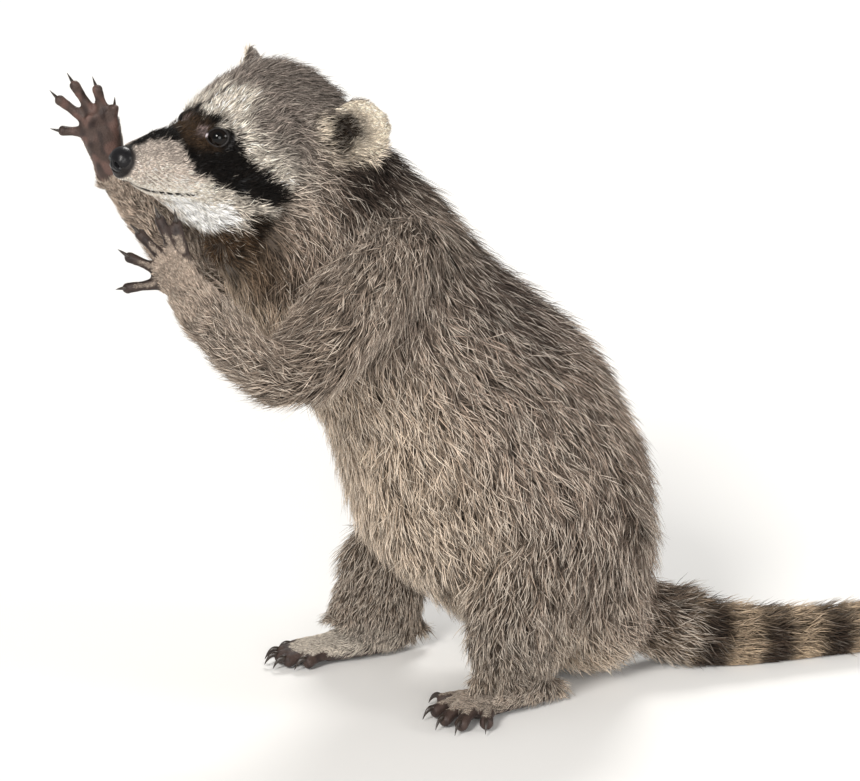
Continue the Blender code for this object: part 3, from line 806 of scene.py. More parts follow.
def build_skin():
    """All flesh as one closed surface, sunk below the coat, then shaped at the face."""
    shapes = [merged_copy(node, 0.5) for node in FLESH_NODES]
    shapes += [ball(eye_centre(hand), (L, U, F), [EYE_RADIUS + 0.4] * 3) for hand in (1, -1)]
    for plan in HANDS.values():
        shapes += hand_shapes(plan)
    for plan in FEET.values():
        shapes += foot_shapes(plan)
    skin = make_mesh("skin", *joined(shapes))
    remesh = skin.modifiers.new("one surface", "REMESH")
    remesh.mode = "VOXEL"
    remesh.voxel_size = VOXEL * MM
    apply_modifiers(skin)

    lie = Lie(points_of(skin.data))
    sink_below_coat(skin.data, lie)
    thin_out(skin, lie.hair)

    mesh = skin.data
    eyes = [on_head(EYE_PLACE[0], hand * EYE_PLACE[1], EYE_PLACE[2]) for hand in (1, -1)]
    mouth = [on_head(back, hand * side_way, up) for back, side_way, up in MOUTH for hand in (1, -1)]
    refine_near(mesh, eyes, 17.0)
    refine_near(mesh, mouth, 6.0)
    set_points(mesh, shape_face(points_of(mesh), normals_of(mesh)))
    mesh.shade_smooth()
    return skin


def sink_below_coat(mesh, lie):
    """Sinks the surface by the coat's depth, raises the swells, and draws the ears in a little.

    The surface is relaxed and pushed inwards in small steps, so that it stays smooth where the coat is deep.
    """
    points = lie.points
    edges = numbers(mesh.edges, "vertices", np.int32, 2)
    ears = lie.share["ear_l"] + lie.share["ear_r"]
    depth = coat_depth(lie.hair) * (1 - 0.75 * ears)
    floor = ease(points[:, 2], 0.0, 6.0)
    softness = (np.clip(lie.hair / 14, 0.04, 1) * (1 - 0.7 * ears))[:, None] * 0.6
    points = relaxed(points, edges, softness, 12)
    steps = 8
    for _ in range(steps):
        set_points(mesh, points)
        push = normals_of(mesh) * (depth / steps)[:, None]
        push[:, 2] *= floor
        points = relaxed(points - push, edges, softness * 0.8, 3)
    set_points(mesh, points)
    points = swollen(points, normals_of(mesh))
    for name, shrink in (("ear_l", 0.07), ("ear_r", 0.22)):
        root = np.add(PATHS[name][0][:3], SHIFT)
        points = points + (root - points) * (shrink * ease(lie.share[name], 0.2, 0.8))[:, None]
    points[:, 2] = np.maximum(points[:, 2], 0.0)
    set_points(mesh, points)


def thin_out(skin, hair):
    """Leaves few triangles under long hair, and many on the face and the bare skin."""
    group = skin.vertex_groups.new(name="under long hair")
    hidden = np.clip((hair - 8) / 10, 0.0, 1)
    for level in range(1, 11):
        members = np.flatnonzero(np.round(hidden * 10) == level)
        group.add(members.tolist(), level / 10, "REPLACE")
    thin = skin.modifiers.new("fewer faces under hair", "DECIMATE")
    thin.ratio = SKIN_TRIANGLES / (2.0 * len(skin.data.polygons))
    thin.vertex_group = group.name
    thin.use_collapse_triangulate = True
    apply_modifiers(skin)
    skin.vertex_groups.clear()


# ---------------------------------------------------------------- markings

# Outlines of marks on either side of the face: how far behind the nose tip, and how far up.
MASK = [
    (34, 13), (36, 6), (40, 0), (44, -4.5), (51, -8), (60, -10), (68, -12), (76, -14), (85, -13.5),
    (92, -9.5), (84, -2.0), (75, 4.0), (67, 8.5), (64, 14), (64, 22), (60.5, 26.5), (55, 26), (48, 24.5),
    (41, 22),
]
WHITE_CHEEK = [
    (34, -18.5), (45, -18.5), (58, -19.5), (66, -22), (65, -27), (59, -33), (54, -33), (47, -28), (39, -24),
]
JOWL = [(70, -20), (80, -17.5), (92, -17.5), (94, -24), (86, -31), (78, -32), (71, -27)]
# Outline of the brown under the jaw, which is partly painted shade.
UNDER_JAW = [
    (48, -30), (58, -35), (66, -29), (74, -28), (90, -29), (108, -33), (118, -50), (100, -90), (50, -90),
    (40, -45),
]
BROW = [
    (48, 22.5), (55, 26), (60, 30), (66, 31), (71, 31), (82, 40), (82, 53), (68, 50), (58, 40), (48, 32),
]
# Half the width of the dark line up the muzzle's bridge, by how far behind the nose tip.
BRIDGE = ([6, 12, 20, 30, 38, 46, 52, 60, 90], [1.2, 2.4, 4.4, 7.0, 9.5, 7, 3.4, 2.8, 1.6])


def outline_distance(flat, outline):
    """Signed distance of points on a plane to a closed outline, negative inside."""
    corners = np.array(outline, float)
    nearest = np.full(len(flat), np.inf)
    crossings = np.zeros(len(flat), int)
    for a, b in zip(corners, np.roll(corners, -1, axis=0)):
        step = b - a
        t = np.clip((flat - a) @ step / (step @ step), 0, 1)
        nearest = np.minimum(nearest, np.linalg.norm(flat - a - t[:, None] * step, axis=1))
        spans = (a[1] > flat[:, 1]) != (b[1] > flat[:, 1])
        reach = a[0] + (flat[:, 1] - a[1]) * step[0] / (step[1] if step[1] else 1e-9)
        crossings += spans & (flat[:, 0] < reach)
    return np.where(crossings % 2 == 1, -nearest, nearest)


# Stations of the paths, counted from 0.
NECK_START, TAIL_START = 6, 15
FOREARM, KNUCKLES = 5, 8
SHANK, ANKLE, TOES = 5, 7, 9
RING_SPACING, RING_MIDDLE = 40.0, 63  # the dark rings, and the middle of the first, from the tail's start


def ring_tone(along_tail):
    """The tail's rings, this many millimetres from its start: a cosine, steepened, and a dark tip."""
    wave = np.cos((along_tail - RING_MIDDLE) / RING_SPACING * 2 * np.pi)
    ringed = mix(TONE["tail_pale"], TONE["ring"], ease(wave, -0.5, 0.5))
    return mix(ringed, TONE["ring"], ease(along_tail, 232, 240))


class Markings:
    """Marks of the coat at many points, laid one over the other; some are painted shade, at throat, jaw and
    ears.

    tone is the colour of the coat's middle, pale and dark are the shares of hairs with pale and with dark
    tips, plain is 1 where hairs have one colour from root to tip, ringed is 1 on the tail's rings, and bare
    is 1 where skin shows. The edges of the face's marks are moved to and fro by a little noise.

    All marks were placed one by one. Limits of back, side_way and up are places on the head, and those of
    on_body and along_tail are places along the body's path. dorsal runs from -1 at the belly to 1 at the
    back.
    """

    def __init__(self, lie, normals):
        self.lie, self.normals, self.points = lie, normals, lie.points
        self.head = to_head(lie.points)
        self.back, self.side_way, self.up = self.head[:, 0], self.head[:, 1], self.head[:, 2]
        self.flat = np.column_stack([self.back, self.up])
        self.ragged = wander(lie.points, 9, 3) * 0.8 + wander(lie.points, 3.5, 4) * 0.6
        self.on_body = lie.place["body"]
        self.neck = path_place(PATHS["body"], NECK_START)
        self.dorsal = unit(lie.offset["body"]) @ np.array([0.0, 0.62, 0.78])
        self.mark_body()
        self.mark_limbs()
        self.mark_tail()
        self.mark_head()
        self.mark_brow_and_band()
        self.mark_muzzle()
        self.mark_jaw()
        self.mark_mask()
        for name in EAR_LAID_BACK:
            self.mark_ear(name, 1 if name == "ear_l" else -1)
        self.tone = self.tone * (1 + 0.10 * wander(self.points, 34, 11))[:, None]
        self.pale, self.dark = np.clip(self.pale, 0, 1), np.clip(self.dark, 0, 1)
        self.bare = self.bare_skin()

    def lay(self, tone, share):
        """Lays a colour over the marks made so far."""
        self.tone = mix(self.tone, tone, share)

    def mark_body(self):
        """Dark along the back, pale along the belly, a brown throat with painted shade under the jaw and by
        the near hand.
        """
        on_body, dorsal, neck = self.on_body, self.dorsal, self.neck
        backs = ease(dorsal, 0.12, 0.72) * (1 - 0.85 * ease(on_body, 270, 340))
        self.tone = mix(TONE["flank"], TONE["back"], backs)
        belly = ease(-dorsal, 0.0, 0.65) * ease(on_body, neck + 70, neck + 140)
        belly = np.maximum(belly, ease(-dorsal, 0.25, 0.85))
        self.lay(TONE["belly"], belly)
        self.pale = 0.42 - 0.18 * ease(dorsal, 0.4, 0.95) + 0.2 * belly
        self.dark = 0.16 + 0.18 * ease(dorsal, 0.3, 0.95) - 0.12 * belly
        throat_and_shade = belly * (1 - ease(on_body, neck + 15, neck + 62))
        # A spot of painted shade between the chin and the near hand.
        shade = np.linalg.norm((self.points - SHIFT - [12, -116, 284]) / [36, 26, 24], axis=1)
        throat_and_shade = np.maximum(throat_and_shade, 1 - ease(shade, 0.6, 1.2))
        self.lay(TONE["brown_and_shade"], throat_and_shade * 0.88)
        self.pale = self.pale * (1 - 0.75 * throat_and_shade)

    def mark_limbs(self):
        """Grizzled arms, paler towards the wrist and darker on the knuckles. Dark legs with paler feet."""
        share, place = self.lie.share, self.lie.place
        self.lay(TONE["leg"], (share["leg_l"] + share["leg_r"]) * 0.8)
        for arm in ("arm_l", "arm_r"):
            knuckles = path_place(PATHS[arm], KNUCKLES)
            low_arm = ease(place[arm], path_place(PATHS[arm], FOREARM) + 8, knuckles)
            self.lay(mix(TONE["arm"], TONE["wrist"], low_arm), share[arm])
            ridges = share[arm] * ease(place[arm], knuckles - 2, knuckles + 8)
            self.tone = self.tone * (1 - 0.35 * ridges)[:, None]
            self.pale = self.pale + share[arm] * 0.26
            self.dark = self.dark + share[arm] * 0.36
        for leg, foot_tone in (("leg_l", TONE["wrist"] * 0.6), ("leg_r", TONE["cream"] * 0.5)):
            low_leg = ease(place[leg], path_place(PATHS[leg], SHANK), path_place(PATHS[leg], ANKLE))
            self.lay(foot_tone, share[leg] * low_leg * 0.8)

    def mark_tail(self):
        """The tail's brown start, then its rings."""
        along_tail = self.on_body - path_place(PATHS["body"], TAIL_START)
        on_tail = self.lie.share["body"] * ease(along_tail, -15, 12)
        self.lay(TONE["tail"], on_tail * 0.8)
        rings = ease(along_tail, 47, 53)
        self.ringed = rings * on_tail
        self.lay(ring_tone(along_tail), self.ringed)
        self.pale = self.pale * (1 - 0.55 * rings * on_tail)
        self.dark = self.dark * (1 - rings * on_tail)

    def mark_head(self):
        """A grey crown over a pale face, and a dark nape behind it."""
        back, up, neck = self.back, self.up, self.neck
        self.on_head = self.lie.share["body"] * (1 - ease(self.on_body, neck - 5, neck + 30))
        crown = mix(TONE["crown"], TONE["nape"], ease(back, 118, 150) * ease(up, -5, 25))
        face = mix(TONE["cream"] * 0.72, crown, ease(up + (back - 60) * 0.25, 8, 34))
        nape = ease(self.dorsal, 0.55, 0.95) * ease(self.on_body, neck - 20, neck + 20)
        nape = nape * (1 - ease(self.on_body, neck + 30, neck + 110))
        self.lay(TONE["nape"], nape * 0.9)
        self.pale = self.pale * (1 - 0.5 * nape)
        self.lay(face, self.on_head)
        self.pale = self.pale + self.on_head * 0.14
        self.dark = self.dark + self.on_head * 0.42

    def mark_brow_and_band(self):
        """The white brow, and the pale band along the mask's upper edge."""
        back, up = self.back, self.up
        mask = outline_distance(self.flat, MASK) + self.ragged * 0.9
        self.mask_share = 1 - ease(mask, -0.8, 1.2)
        band = (1 - ease(mask, 5, 13)) * ease(up - mask * 0.2, -12, 0) * ease(back, 46, 55)
        self.lay(TONE["cream"] * 0.95, band * self.on_head * 0.9)
        self.pale = self.pale + band * 0.3
        middle_moved = 9.0 * ease(back, 40, 54) * (1 - 0.6 * ease(back, 66, 88))
        self.from_middle = np.abs(self.side_way + middle_moved)
        brow = outline_distance(self.flat, BROW) + self.ragged * 1.4 + ease(back, 60, 82) * 4
        self.brow = (1 - ease(brow, -1.0, 3.5)) * ease(self.from_middle, 1.8, 3.6)
        self.lay(TONE["cream"] * 1.1, self.brow)
        self.pale = self.pale + self.brow * 0.4

    def mark_muzzle(self):
        """The pale muzzle with rows of dark whisker spots, a pale lip, and the dark line up its bridge."""
        back, up, ragged = self.back, self.up, self.ragged
        self.muzzle = (1 - ease(back + ragged * 2, 40, 52)) * self.on_head
        over = ease(up + ragged, -3.0, 6.0)
        self.lay(mix(TONE["muzzle"], TONE["muzzle"] * 0.72, over), self.muzzle)
        spots = np.sin((back + 2.0 * up) * 1.45) * np.sin((up + 10) * 1.75 + back * 0.2)
        spots = ease(spots, 0.55, 0.9) * ease(back, 13, 17)
        spots = spots * (1 - ease(back, 32, 38)) * (1 - ease(up, -3, 1))
        self.lay(TONE["skin_dark"], spots * self.muzzle * 0.9)
        half_width = np.interp(back, *BRIDGE)
        bridge = 1 - ease(self.from_middle + ragged * 0.7, half_width - 0.8, half_width + 1.4)
        self.bridge = bridge * (1 - ease(back, 56, 82)) * ease(up, 2, 6)
        lip = 1 - ease(mouth_distance(self.head)[0] + ragged, 2.5, 5.5)
        self.lay(TONE["cream"], lip * self.on_head * 0.9)

    def mark_jaw(self):
        """Brown under the jaw, deepened there by painted shade, white on the cheek, black at the mask's lower
        end.
        """
        flat, ragged = self.flat, self.ragged
        # Under the jaw the fur's brown is deepened by painted shade.
        under = 1 - ease(outline_distance(flat, UNDER_JAW) + ragged * 1.5, -1.5, 3)
        self.lay(TONE["brown_and_shade"] * 1.15, under * self.on_head)
        self.white = 1 - ease(outline_distance(flat, WHITE_CHEEK) + ragged * 1.2, -1, 2.5)
        self.lay(TONE["white"], self.white * self.on_head)
        jowl = 1 - ease(outline_distance(flat, JOWL) + ragged * 1.5, -2, 2.5)
        self.lay(TONE["brown_and_shade"] * 0.3, jowl * self.on_head)
        self.pale = self.pale * (1 - 0.9 * jowl) * (1 - 0.6 * under)
        self.dark = self.dark * (1 - self.white)

    def mark_mask(self):
        """The black mask and bridge, browner before the eye, and pale at the eye's front corner."""
        black = np.maximum(self.mask_share, self.bridge) * self.on_head
        brown = 1 - ease(np.linalg.norm((self.head * [1, 0, 1] - [45, 0, 18]) / 12, axis=1), 0.3, 1.1)
        self.lay(mix(TONE["mask"], TONE["brown_and_shade"] * 0.85, brown * 0.8), black)
        self.pale = self.pale * (1 - black) + 0.004 * black
        for hand in (1, -1):
            _, radius, _, along, high = opening(self.points, hand)
            lid = np.hypot((along + 11.5) / 4.2, (high + 0.6) / 3.6) + self.ragged * 0.15
            lid = (1 - ease(lid, 0.4, 1.15)) * (radius < EYE_RADIUS + 7)
            self.lay(TONE["lid"], lid * 0.75)
        self.dark = self.dark * (1 - black)
        plain = np.maximum(self.white, np.maximum(self.muzzle * 0.4, self.brow * 0.9)) * self.on_head
        self.plain = np.maximum(black, plain)

    def mark_ear(self, name, hand):
        """A pale rim round a dark hollow of painted shade, ringed by more painted shade, a grey back, and a
        dark patch behind the root.
        """
        ear = ease(self.lie.share[name], 0.35, 0.65)
        front = unit(0.62 * F + hand * 0.72 * L - 0.22 * U)
        root, end = PATHS[name][0][:3] + SHIFT, PATHS[name][2][:3] + SHIFT
        axis = unit(end - root)
        edge = unit(np.cross(axis, front))
        forwards = (self.points - (root + end) / 2) @ edge * np.sign(edge @ F)
        reach = (self.points - root) @ axis
        # The hollow's dark is painted shade of the ear's opening.
        hollow = np.hypot((forwards - 1.0) / 12.5, (reach - 9) / 11.0) + self.ragged * 0.16
        hollow = 1 - ease(hollow, 0.7, 1.15)
        outer = mix(TONE["crown"] * 0.6, TONE["ear_rim"], ease(reach, 20, 34) * 0.7)
        # Painted shade round the hollow.
        shade_round_hollow = 1 - ease(np.hypot((forwards - 1) / 17, (reach - 13) / 17), 0.5, 1.05)
        inner = mix(TONE["ear_rim"], TONE["ear_rim"] * 0.42, shade_round_hollow)
        inner = mix(inner, TONE["ear_hollow_shade"], hollow)
        self.lay(mix(outer, inner, ease(self.normals @ front, -0.1, 0.35)), ear)
        self.pale = self.pale * (1 - ear) + 0.3 * ear
        self.dark = self.dark * (1 - ear) + 0.18 * ear
        self.plain = np.maximum(self.plain, ear * 0.5)
        behind = np.linalg.norm((self.head - [134, hand * 66, 8]) / [22, 22, 16], axis=1)
        behind = (1 - ease(behind + self.ragged * 0.1, 0.7, 1.1)) * (1 - ear)
        self.lay(TONE["nape"] * 0.7, behind * 0.8)
        self.pale = self.pale * (1 - 0.6 * behind)

    def bare_skin(self):
        """1 where skin shows: palms, soles, digits' ends, lips, lids and the rim of the nose."""
        lie, normals = self.lie, self.normals
        bare = np.zeros(len(normals))
        for hand, plan in HANDS.items():
            arm = "arm_" + hand
            beyond = lie.place[arm] - path_place(PATHS[arm], KNUCKLES)
            facing = normals @ unit(plan["back"])
            palm = (1 - ease(facing, -0.2, 0.2)) * ease(beyond, -plan["palm"], 10 - plan["palm"])
            fingers = ease(beyond, -4, 2) * (1 - ease(facing, 0.92, 0.99))
            shown = np.maximum(palm, np.maximum(fingers, ease(beyond, 9, 15)))
            bare = np.maximum(bare, ease(lie.share[arm], 0.3, 0.6) * shown)
        for foot in FEET:
            leg = "leg_" + foot
            beyond = lie.place[leg] - path_place(PATHS[leg], TOES)
            sole = (1 - ease(normals[:, 2], -0.3, 0.1)) * (1 - ease(lie.points[:, 2], 6, 11))
            sides = ease(beyond, -1, 5) * (1 - ease(normals[:, 2], 0.75, 0.95))
            shown = np.maximum(sole, np.maximum(sides, ease(beyond, 9, 15)))
            bare = np.maximum(bare, ease(lie.share[leg], 0.3, 0.6) * shown)
        for hand in (1, -1):
            measure, radius, _, _, _ = opening(lie.points, hand)
            bare = np.maximum(bare, (1 - ease(measure, 1.08, 1.18)) * (radius < EYE_RADIUS + 6))
        distance, along = mouth_distance(self.head)
        bare = np.maximum(bare, (1 - ease(distance, 0.9, 1.8)) * (1 - ease(along, 0.9, 1)))
        return np.maximum(bare, 1 - ease(nose_distance(self.head), 1.1, 1.2))


def skin_colours(lie, normals, marks):
    """The coat's markings, painted shade included, a little darker, and dark creased skin where it is bare.
    """
    under = marks.tone * (0.40 + 0.30 * (1 - ease(lie.hair, 5, 18)))[:, None]
    under = under * (0.4 + 0.6 * ease(nose_distance(to_head(lie.points)), 1.25, 1.9))[:, None]
    spots = wander(lie.points, 7, 21)
    bare_tone = mix(TONE["skin"], TONE["skin_dark"], ease(spots, -0.2, 0.9) * 0.8)
    bare_tone = bare_tone * (1 - 0.35 * lie.share["arm_l"])[:, None]
    far = lie.share["arm_r"]
    bare_tone = mix(bare_tone, TONE["skin_rosy"], far * ease(wander(lie.points, 11, 22), -0.3, 1.0) * 0.7)
    for hand in (1, -1):
        measure, radius, _, along, high = opening(lie.points, hand)
        near = (measure < 1.4) & (radius < EYE_RADIUS + 6)
        bare_tone = np.where(near[:, None], TONE["skin_dark"] * 0.2, bare_tone)
        corner = (1 - ease(np.hypot((along + 8.6) / 1.3, high + 0.5), 0.8, 2.2)) * near
        bare_tone = mix(bare_tone, TONE["eye_corner"], corner)
    distance, _ = mouth_distance(to_head(lie.points))
    lips = 1 - ease(distance, 1.0, 2.0)
    nose_rim = 1 - ease(nose_distance(to_head(lie.points)), 1.2, 1.4)
    bare_tone = mix(bare_tone, TONE["skin_dark"] * 0.2, np.maximum(lips, nose_rim))
    return mix(under, bare_tone, marks.bare)


# ---------------------------------------------------------------- the coat

LONG = 11.0  # hair over this length is undercoat and guard hair, under it short hair
# Kinds of tuft. count is how many there are, crowd how much closer they stand where hair is short, length
# a share of the coat's, and rings the rows of corners between root and tip. width is in millimetres and grows
# by widen for each millimetre of length. stray is how far a tuft turns off the coat's way, gather how far its
# tip leans to the middle of its lock, and lift a share of the coat's height. bright scales its colour, vary
# is how much that differs, grizzle scales the shares of pale and dark tips, and banded is the share of
# tufts with a dark end.
UNDERCOAT = {
    "count": 52000, "crowd": 0.9, "length": 0.74, "rings": 1, "width": 0.55, "widen": 0.022, "stray": 0.16,
    "gather": 0.5, "lift": 0.92, "bright": 0.48, "grizzle": 0.4, "vary": 0.15, "banded": 0.0,
}
GUARD_HAIR = {
    "count": 62000, "crowd": 0.9, "length": 0.82, "rings": 2, "width": 0.30, "widen": 0.008, "stray": 0.24,
    "gather": 0.66, "lift": 1.2, "bright": 1.30, "grizzle": 1.5, "vary": 0.20, "banded": 0.55,
}
SHORT_HAIR = {
    "count": 62000, "crowd": 1.2, "length": 1.0, "rings": 1, "width": 0.16, "widen": 0.040, "stray": 0.18,
    "gather": 0.45, "lift": 1.0, "bright": 1.12, "grizzle": 1.5, "vary": 0.28, "banded": 0.0,
}


def scattered_roots(mesh, density, count):
    """This many roots spread evenly over the triangles, more of them where density is greater."""
    triangles = numbers(mesh.loop_triangles, "vertices", np.int32, 3)
    corners = points_of(mesh)[triangles]
    sides = corners[:, 1:] - corners[:, :1]
    area = np.linalg.norm(np.cross(sides[:, 0], sides[:, 1]), axis=1) / 2
    reach = np.cumsum(area * density[triangles].mean(1))
    picked = np.searchsorted(reach, (np.arange(count) + rng.uniform(0, 1, count)) * reach[-1] / count)
    picked = np.minimum(picked, len(triangles) - 1)
    a, b = rng.uniform(0, 1, (2, count))
    flip = a + b > 1
    a, b = np.where(flip, 1 - a, a), np.where(flip, 1 - b, b)
    return triangles[picked], np.stack([1 - a - b, a, b], 1)


def spread(values, corners, weights):
    """Values at the roots from those at the corners of their triangles."""
    if values.ndim == 1:
        return (values[corners] * weights).sum(1)
    return (values[corners] * weights[..., None]).sum(1)


# Pieces of the coat along the body's path: which path, and from where to where in millimetres.
REGIONS = {
    "coat_face": ("body", 0, 70),
    "coat_cheeks": ("body", 70, 97),
    "coat_head": ("body", 97, 122),
    "coat_neck": ("body", 122, 176),
    "coat_shoulders": ("body", 176, 232),
    "coat_chest": ("body", 232, 276),
    "coat_waist": ("body", 276, 318),
    "coat_flanks": ("body", 318, 362),
    "coat_rump": ("body", 362, 420),
    "coat_tail_base": ("body", 420, 500),
    "coat_tail_middle": ("body", 500, 590),
    "coat_tail_end": ("body", 590, 900),
}


class Tufts:
    """Hair tufts: spindles with three sides, pointed at root and tip, following the lie of the coat."""

    def __init__(self, mesh, lie, marks, way, kind, keep):
        self.kind = kind
        hair = lie.hair * (1 + 0.10 * wander(lie.points, 40, 31)) * kind["length"]
        density = np.where(keep, 1 / np.maximum(hair, 2.0) ** kind["crowd"], 0) * (marks.bare < 0.5)
        corners, weights = scattered_roots(mesh, density, kind["count"])
        here = {"root": lie.points, "normal": normals_of(mesh), "way": way, "hair": hair}
        here |= {key: getattr(marks, key) for key in ("tone", "pale", "dark", "plain", "ringed")}
        here = {key: spread(value, corners, weights) for key, value in here.items()}
        self.paths = {name: spread(lie.share[name], corners, weights) for name in PATHS}
        self.place = {name: spread(lie.place[name], corners, weights) for name in PATHS}
        self.offset = {name: spread(lie.offset[name], corners, weights) for name in PATHS}
        self.here, self.rings = here, kind["rings"]
        self.width = kind["width"] + kind["widen"] * here["hair"]
        self.count = len(here["hair"])

    def shape(self):
        """Points of every tuft from root to tip, as one array: tuft, point, xyz.

        A tuft runs in the coat's way and rises as a parabola of the share of its length. It leans towards the
        seed of its lock as that share to the power 1.4, and bows sideways as a sine.
        """
        here = self.here
        root, normal = here["root"], unit(here["normal"])
        count = self.count
        way = unit(here["way"] - normal * (here["way"] * normal).sum(1)[:, None])
        across = np.cross(normal, way)
        kind = self.kind
        turn = 0.20 * wander(root, 30, 41) + 0.16 * wander(root, 13, 42)
        turn = turn + kind["stray"] * rng.normal(size=count)
        way = unit(way * np.cos(turn)[:, None] + across * np.sin(turn)[:, None])
        across = np.cross(normal, way)
        hair = here["hair"] * rng.uniform(0.72, 1.12, count)
        spacing = np.choose(np.digitize(hair, [6, 13, 22]), [2.0, 3.2, 5.0, 6.5]).astype(float)
        seed_place, traits = nearest_seed(root, spacing, 5)
        uneven = 0.6 + 0.5 * rng.uniform(0, 1, count) + 0.35 * (traits[:, 0] - 0.4)
        height = coat_depth(hair) * kind["lift"] * uneven
        gather = seed_place - root
        gather = gather - normal * (gather * normal).sum(1)[:, None]
        self.apart = np.clip(np.linalg.norm(gather, axis=1) / spacing, 0, 1)
        gather = gather * (kind["gather"] + 0.2 * rng.uniform(-1, 1, count))[:, None]
        swing = hair * 0.09 * (traits[:, 1] * 2 - 1) + hair * 0.06 * rng.normal(size=count)
        rows = [0.0, *np.linspace(0, 1, self.rings + 2)[1:-1], 1.0]
        lowest = 0.25 + 0.8 * rng.uniform(0, 1, count)
        shape = []
        for number, t in enumerate(rows):
            ahead = hair * t * np.sqrt(np.maximum(1 - (height / hair) ** 2, 0.2))
            rise = height * (1.7 * t - 0.7 * t * t) - 0.3 * (1 - t) ** 3
            bow = swing * np.sin(np.pi * t * 1.5)
            middle = root + way * ahead[:, None] + normal * rise[:, None]
            middle = middle + gather * t**1.4 + across * bow[:, None]
            middle[:, 2] = np.maximum(middle[:, 2], lowest)
            if number in (0, len(rows) - 1):
                shape.append(middle[:, None, :])
                continue
            half = (self.width * (0.62 - 0.28 * t))[:, None]
            ridge = np.stack([across * half, -across * half, normal * half * 0.75], 1)
            shape.append(middle[:, None, :] + ridge)
        self.rows = rows
        self.traits = traits
        return np.concatenate(shape, 1)

    def colours(self):
        """Dark at the root, its base deepened by painted shade, the coat's tone in the middle, and a pale,
        dark or plain tip.

        Tufts are darker the further they stand from the middle of their lock, as painted shade between the
        locks.
        On the tail every point takes the tone of the ring over which it lies.
        """
        here, count = self.here, self.count
        kind = self.kind
        vary = 1 + kind["vary"] * rng.normal(size=count) + 0.25 * (self.traits[:, 0] - 0.5)
        # Painted shade: tufts far from the middle of their lock are darker.
        vary = np.maximum(vary, 0.4) * (1.38 - 0.80 * self.apart)
        tone = here["tone"] * (vary * kind["bright"])[:, None]
        draw = rng.uniform(0, 1, count)
        paleness = (draw < here["pale"] * kind["grizzle"]) * rng.uniform(0.35, 1.0, count)
        darkness = (draw > 1 - here["dark"] * kind["grizzle"]) * rng.uniform(0.4, 1.0, count)
        light = mix(tone * 1.3, TONE["cream"], 0.7)
        tip = mix(mix(tone * 1.15, light, paleness), tone * 0.28, darkness)
        end = mix(tip, tone * 0.35, (rng.uniform(0, 1, count) < kind["banded"]) * (1 - here["plain"]))
        # Roots darker than the hair's own base: painted shade deep in the coat.
        root_dark_and_shade = mix(tone * 0.12, tone * 0.8, here["plain"])
        along_tail = self.place["body"] - path_place(PATHS["body"], TAIL_START)
        rows = []
        for number, t in enumerate(self.rows):
            colour = mix(root_dark_and_shade, tone, np.full(count, ease(t, 0.05, 0.5)))
            colour = mix(colour, tip, np.full(count, ease(t, 0.4, 0.72)))
            colour = mix(colour, end, np.full(count, ease(t, 0.7, 1.0)))
            ring = ring_tone(along_tail + 0.9 * t * here["hair"] - 4)
            # Towards the root the rings darken too, as painted shade.
            ring = ring * (vary * kind["bright"] * (0.35 + 0.75 * t))[:, None]
            colour = mix(colour, ring, here["ringed"] * 0.75)
            copies = 1 if number in (0, len(self.rows) - 1) else 3
            rows.append(np.repeat(np.clip(colour, 0.002, 1)[:, None, :], copies, 1))
        return np.concatenate(rows, 1)

    def faces(self):
        """Corner numbers of one tuft's triangles, facing outwards."""
        rings = self.rings
        made = [(0, 1 + (k + 1) % 3, 1 + k) for k in range(3)]
        for ring in range(rings - 1):
            low, high = 1 + 3 * ring, 4 + 3 * ring
            for k in range(3):
                after = (k + 1) % 3
                made += [(low + k, low + after, high + after), (low + k, high + after, high + k)]
        last, tip = 1 + 3 * (rings - 1), 1 + 3 * rings
        made += [(last + k, last + (k + 1) % 3, tip) for k in range(3)]
        return np.array(made)


def unwrap(tufts, path, chosen):
    """Where each root lies on the skin unrolled from round its path: along it, and round it."""
    place = tufts.place[path][chosen]
    rows = np.asarray(PATHS[path], float)
    offset = tufts.offset[path][chosen]
    axis = unit(rows[-1, :3] - rows[0, :3]) if path != "body" else np.array([0.0, 0.6, -0.8])
    first = unit(np.cross(axis, [1.0, 0.1, 0.2]))
    second = np.cross(axis, first)
    turn = np.arctan2(offset @ second, offset @ first) / (2 * np.pi) + 0.5
    low, high = place.min(), place.max()
    return np.column_stack([0.01 + 0.97 * turn, 0.01 + 0.97 * (place - low) / max(high - low, 1e-6)])


PATCH = 0.003  # side of each tuft's own patch of the map


def put_tones(mesh, colours):
    """Keeps a colour for each point of the mesh, for its material to read."""
    tint = mesh.attributes.new("coat_tone", "FLOAT_COLOR", "POINT")
    filled = np.column_stack([colours, np.ones(len(colours))])
    tint.data.foreach_set("color", filled.astype(np.float32).ravel())


def coat_piece(name, path, sets, finish):
    """One coat piece from chosen tufts of each set, with its colours and its map."""
    all_points, all_faces, all_colours, all_maps = [], [], [], []
    count = 0
    for tufts, shape, colours, chosen in sets:
        if not chosen.any():
            continue
        points = shape[chosen]
        number, size = points.shape[:2]
        pattern = tufts.faces()
        faces = (np.arange(number)[:, None, None] * size + pattern[None]).reshape(-1, 3) + count
        places = unwrap(tufts, path, chosen)
        steps = [0.0] + [t for t in tufts.rows[1:-1] for _ in range(3)] + [1.0]
        aside = [0.5] + [0.0, 1.0, 0.5] * tufts.rings + [0.5]
        local = np.column_stack([aside, steps]) * PATCH
        maps = places[:, None, :] + local[None]
        all_points.append(points.reshape(-1, 3))
        all_faces.append(faces)
        all_colours.append(colours[chosen].reshape(-1, 3))
        all_maps.append(maps.reshape(-1, 2))
        count += number * size
    points, faces = np.vstack(all_points), np.vstack(all_faces)
    piece = make_mesh(name, points, faces)
    put_tones(piece.data, np.vstack(all_colours))
    layer = piece.data.uv_layers.new(name="OFBake")
    layer.uv.foreach_set("vector", np.vstack(all_maps)[faces.ravel()].astype(np.float32).ravel())
    finish_piece(piece, finish)


# ---------------------------------------------------------------- materials


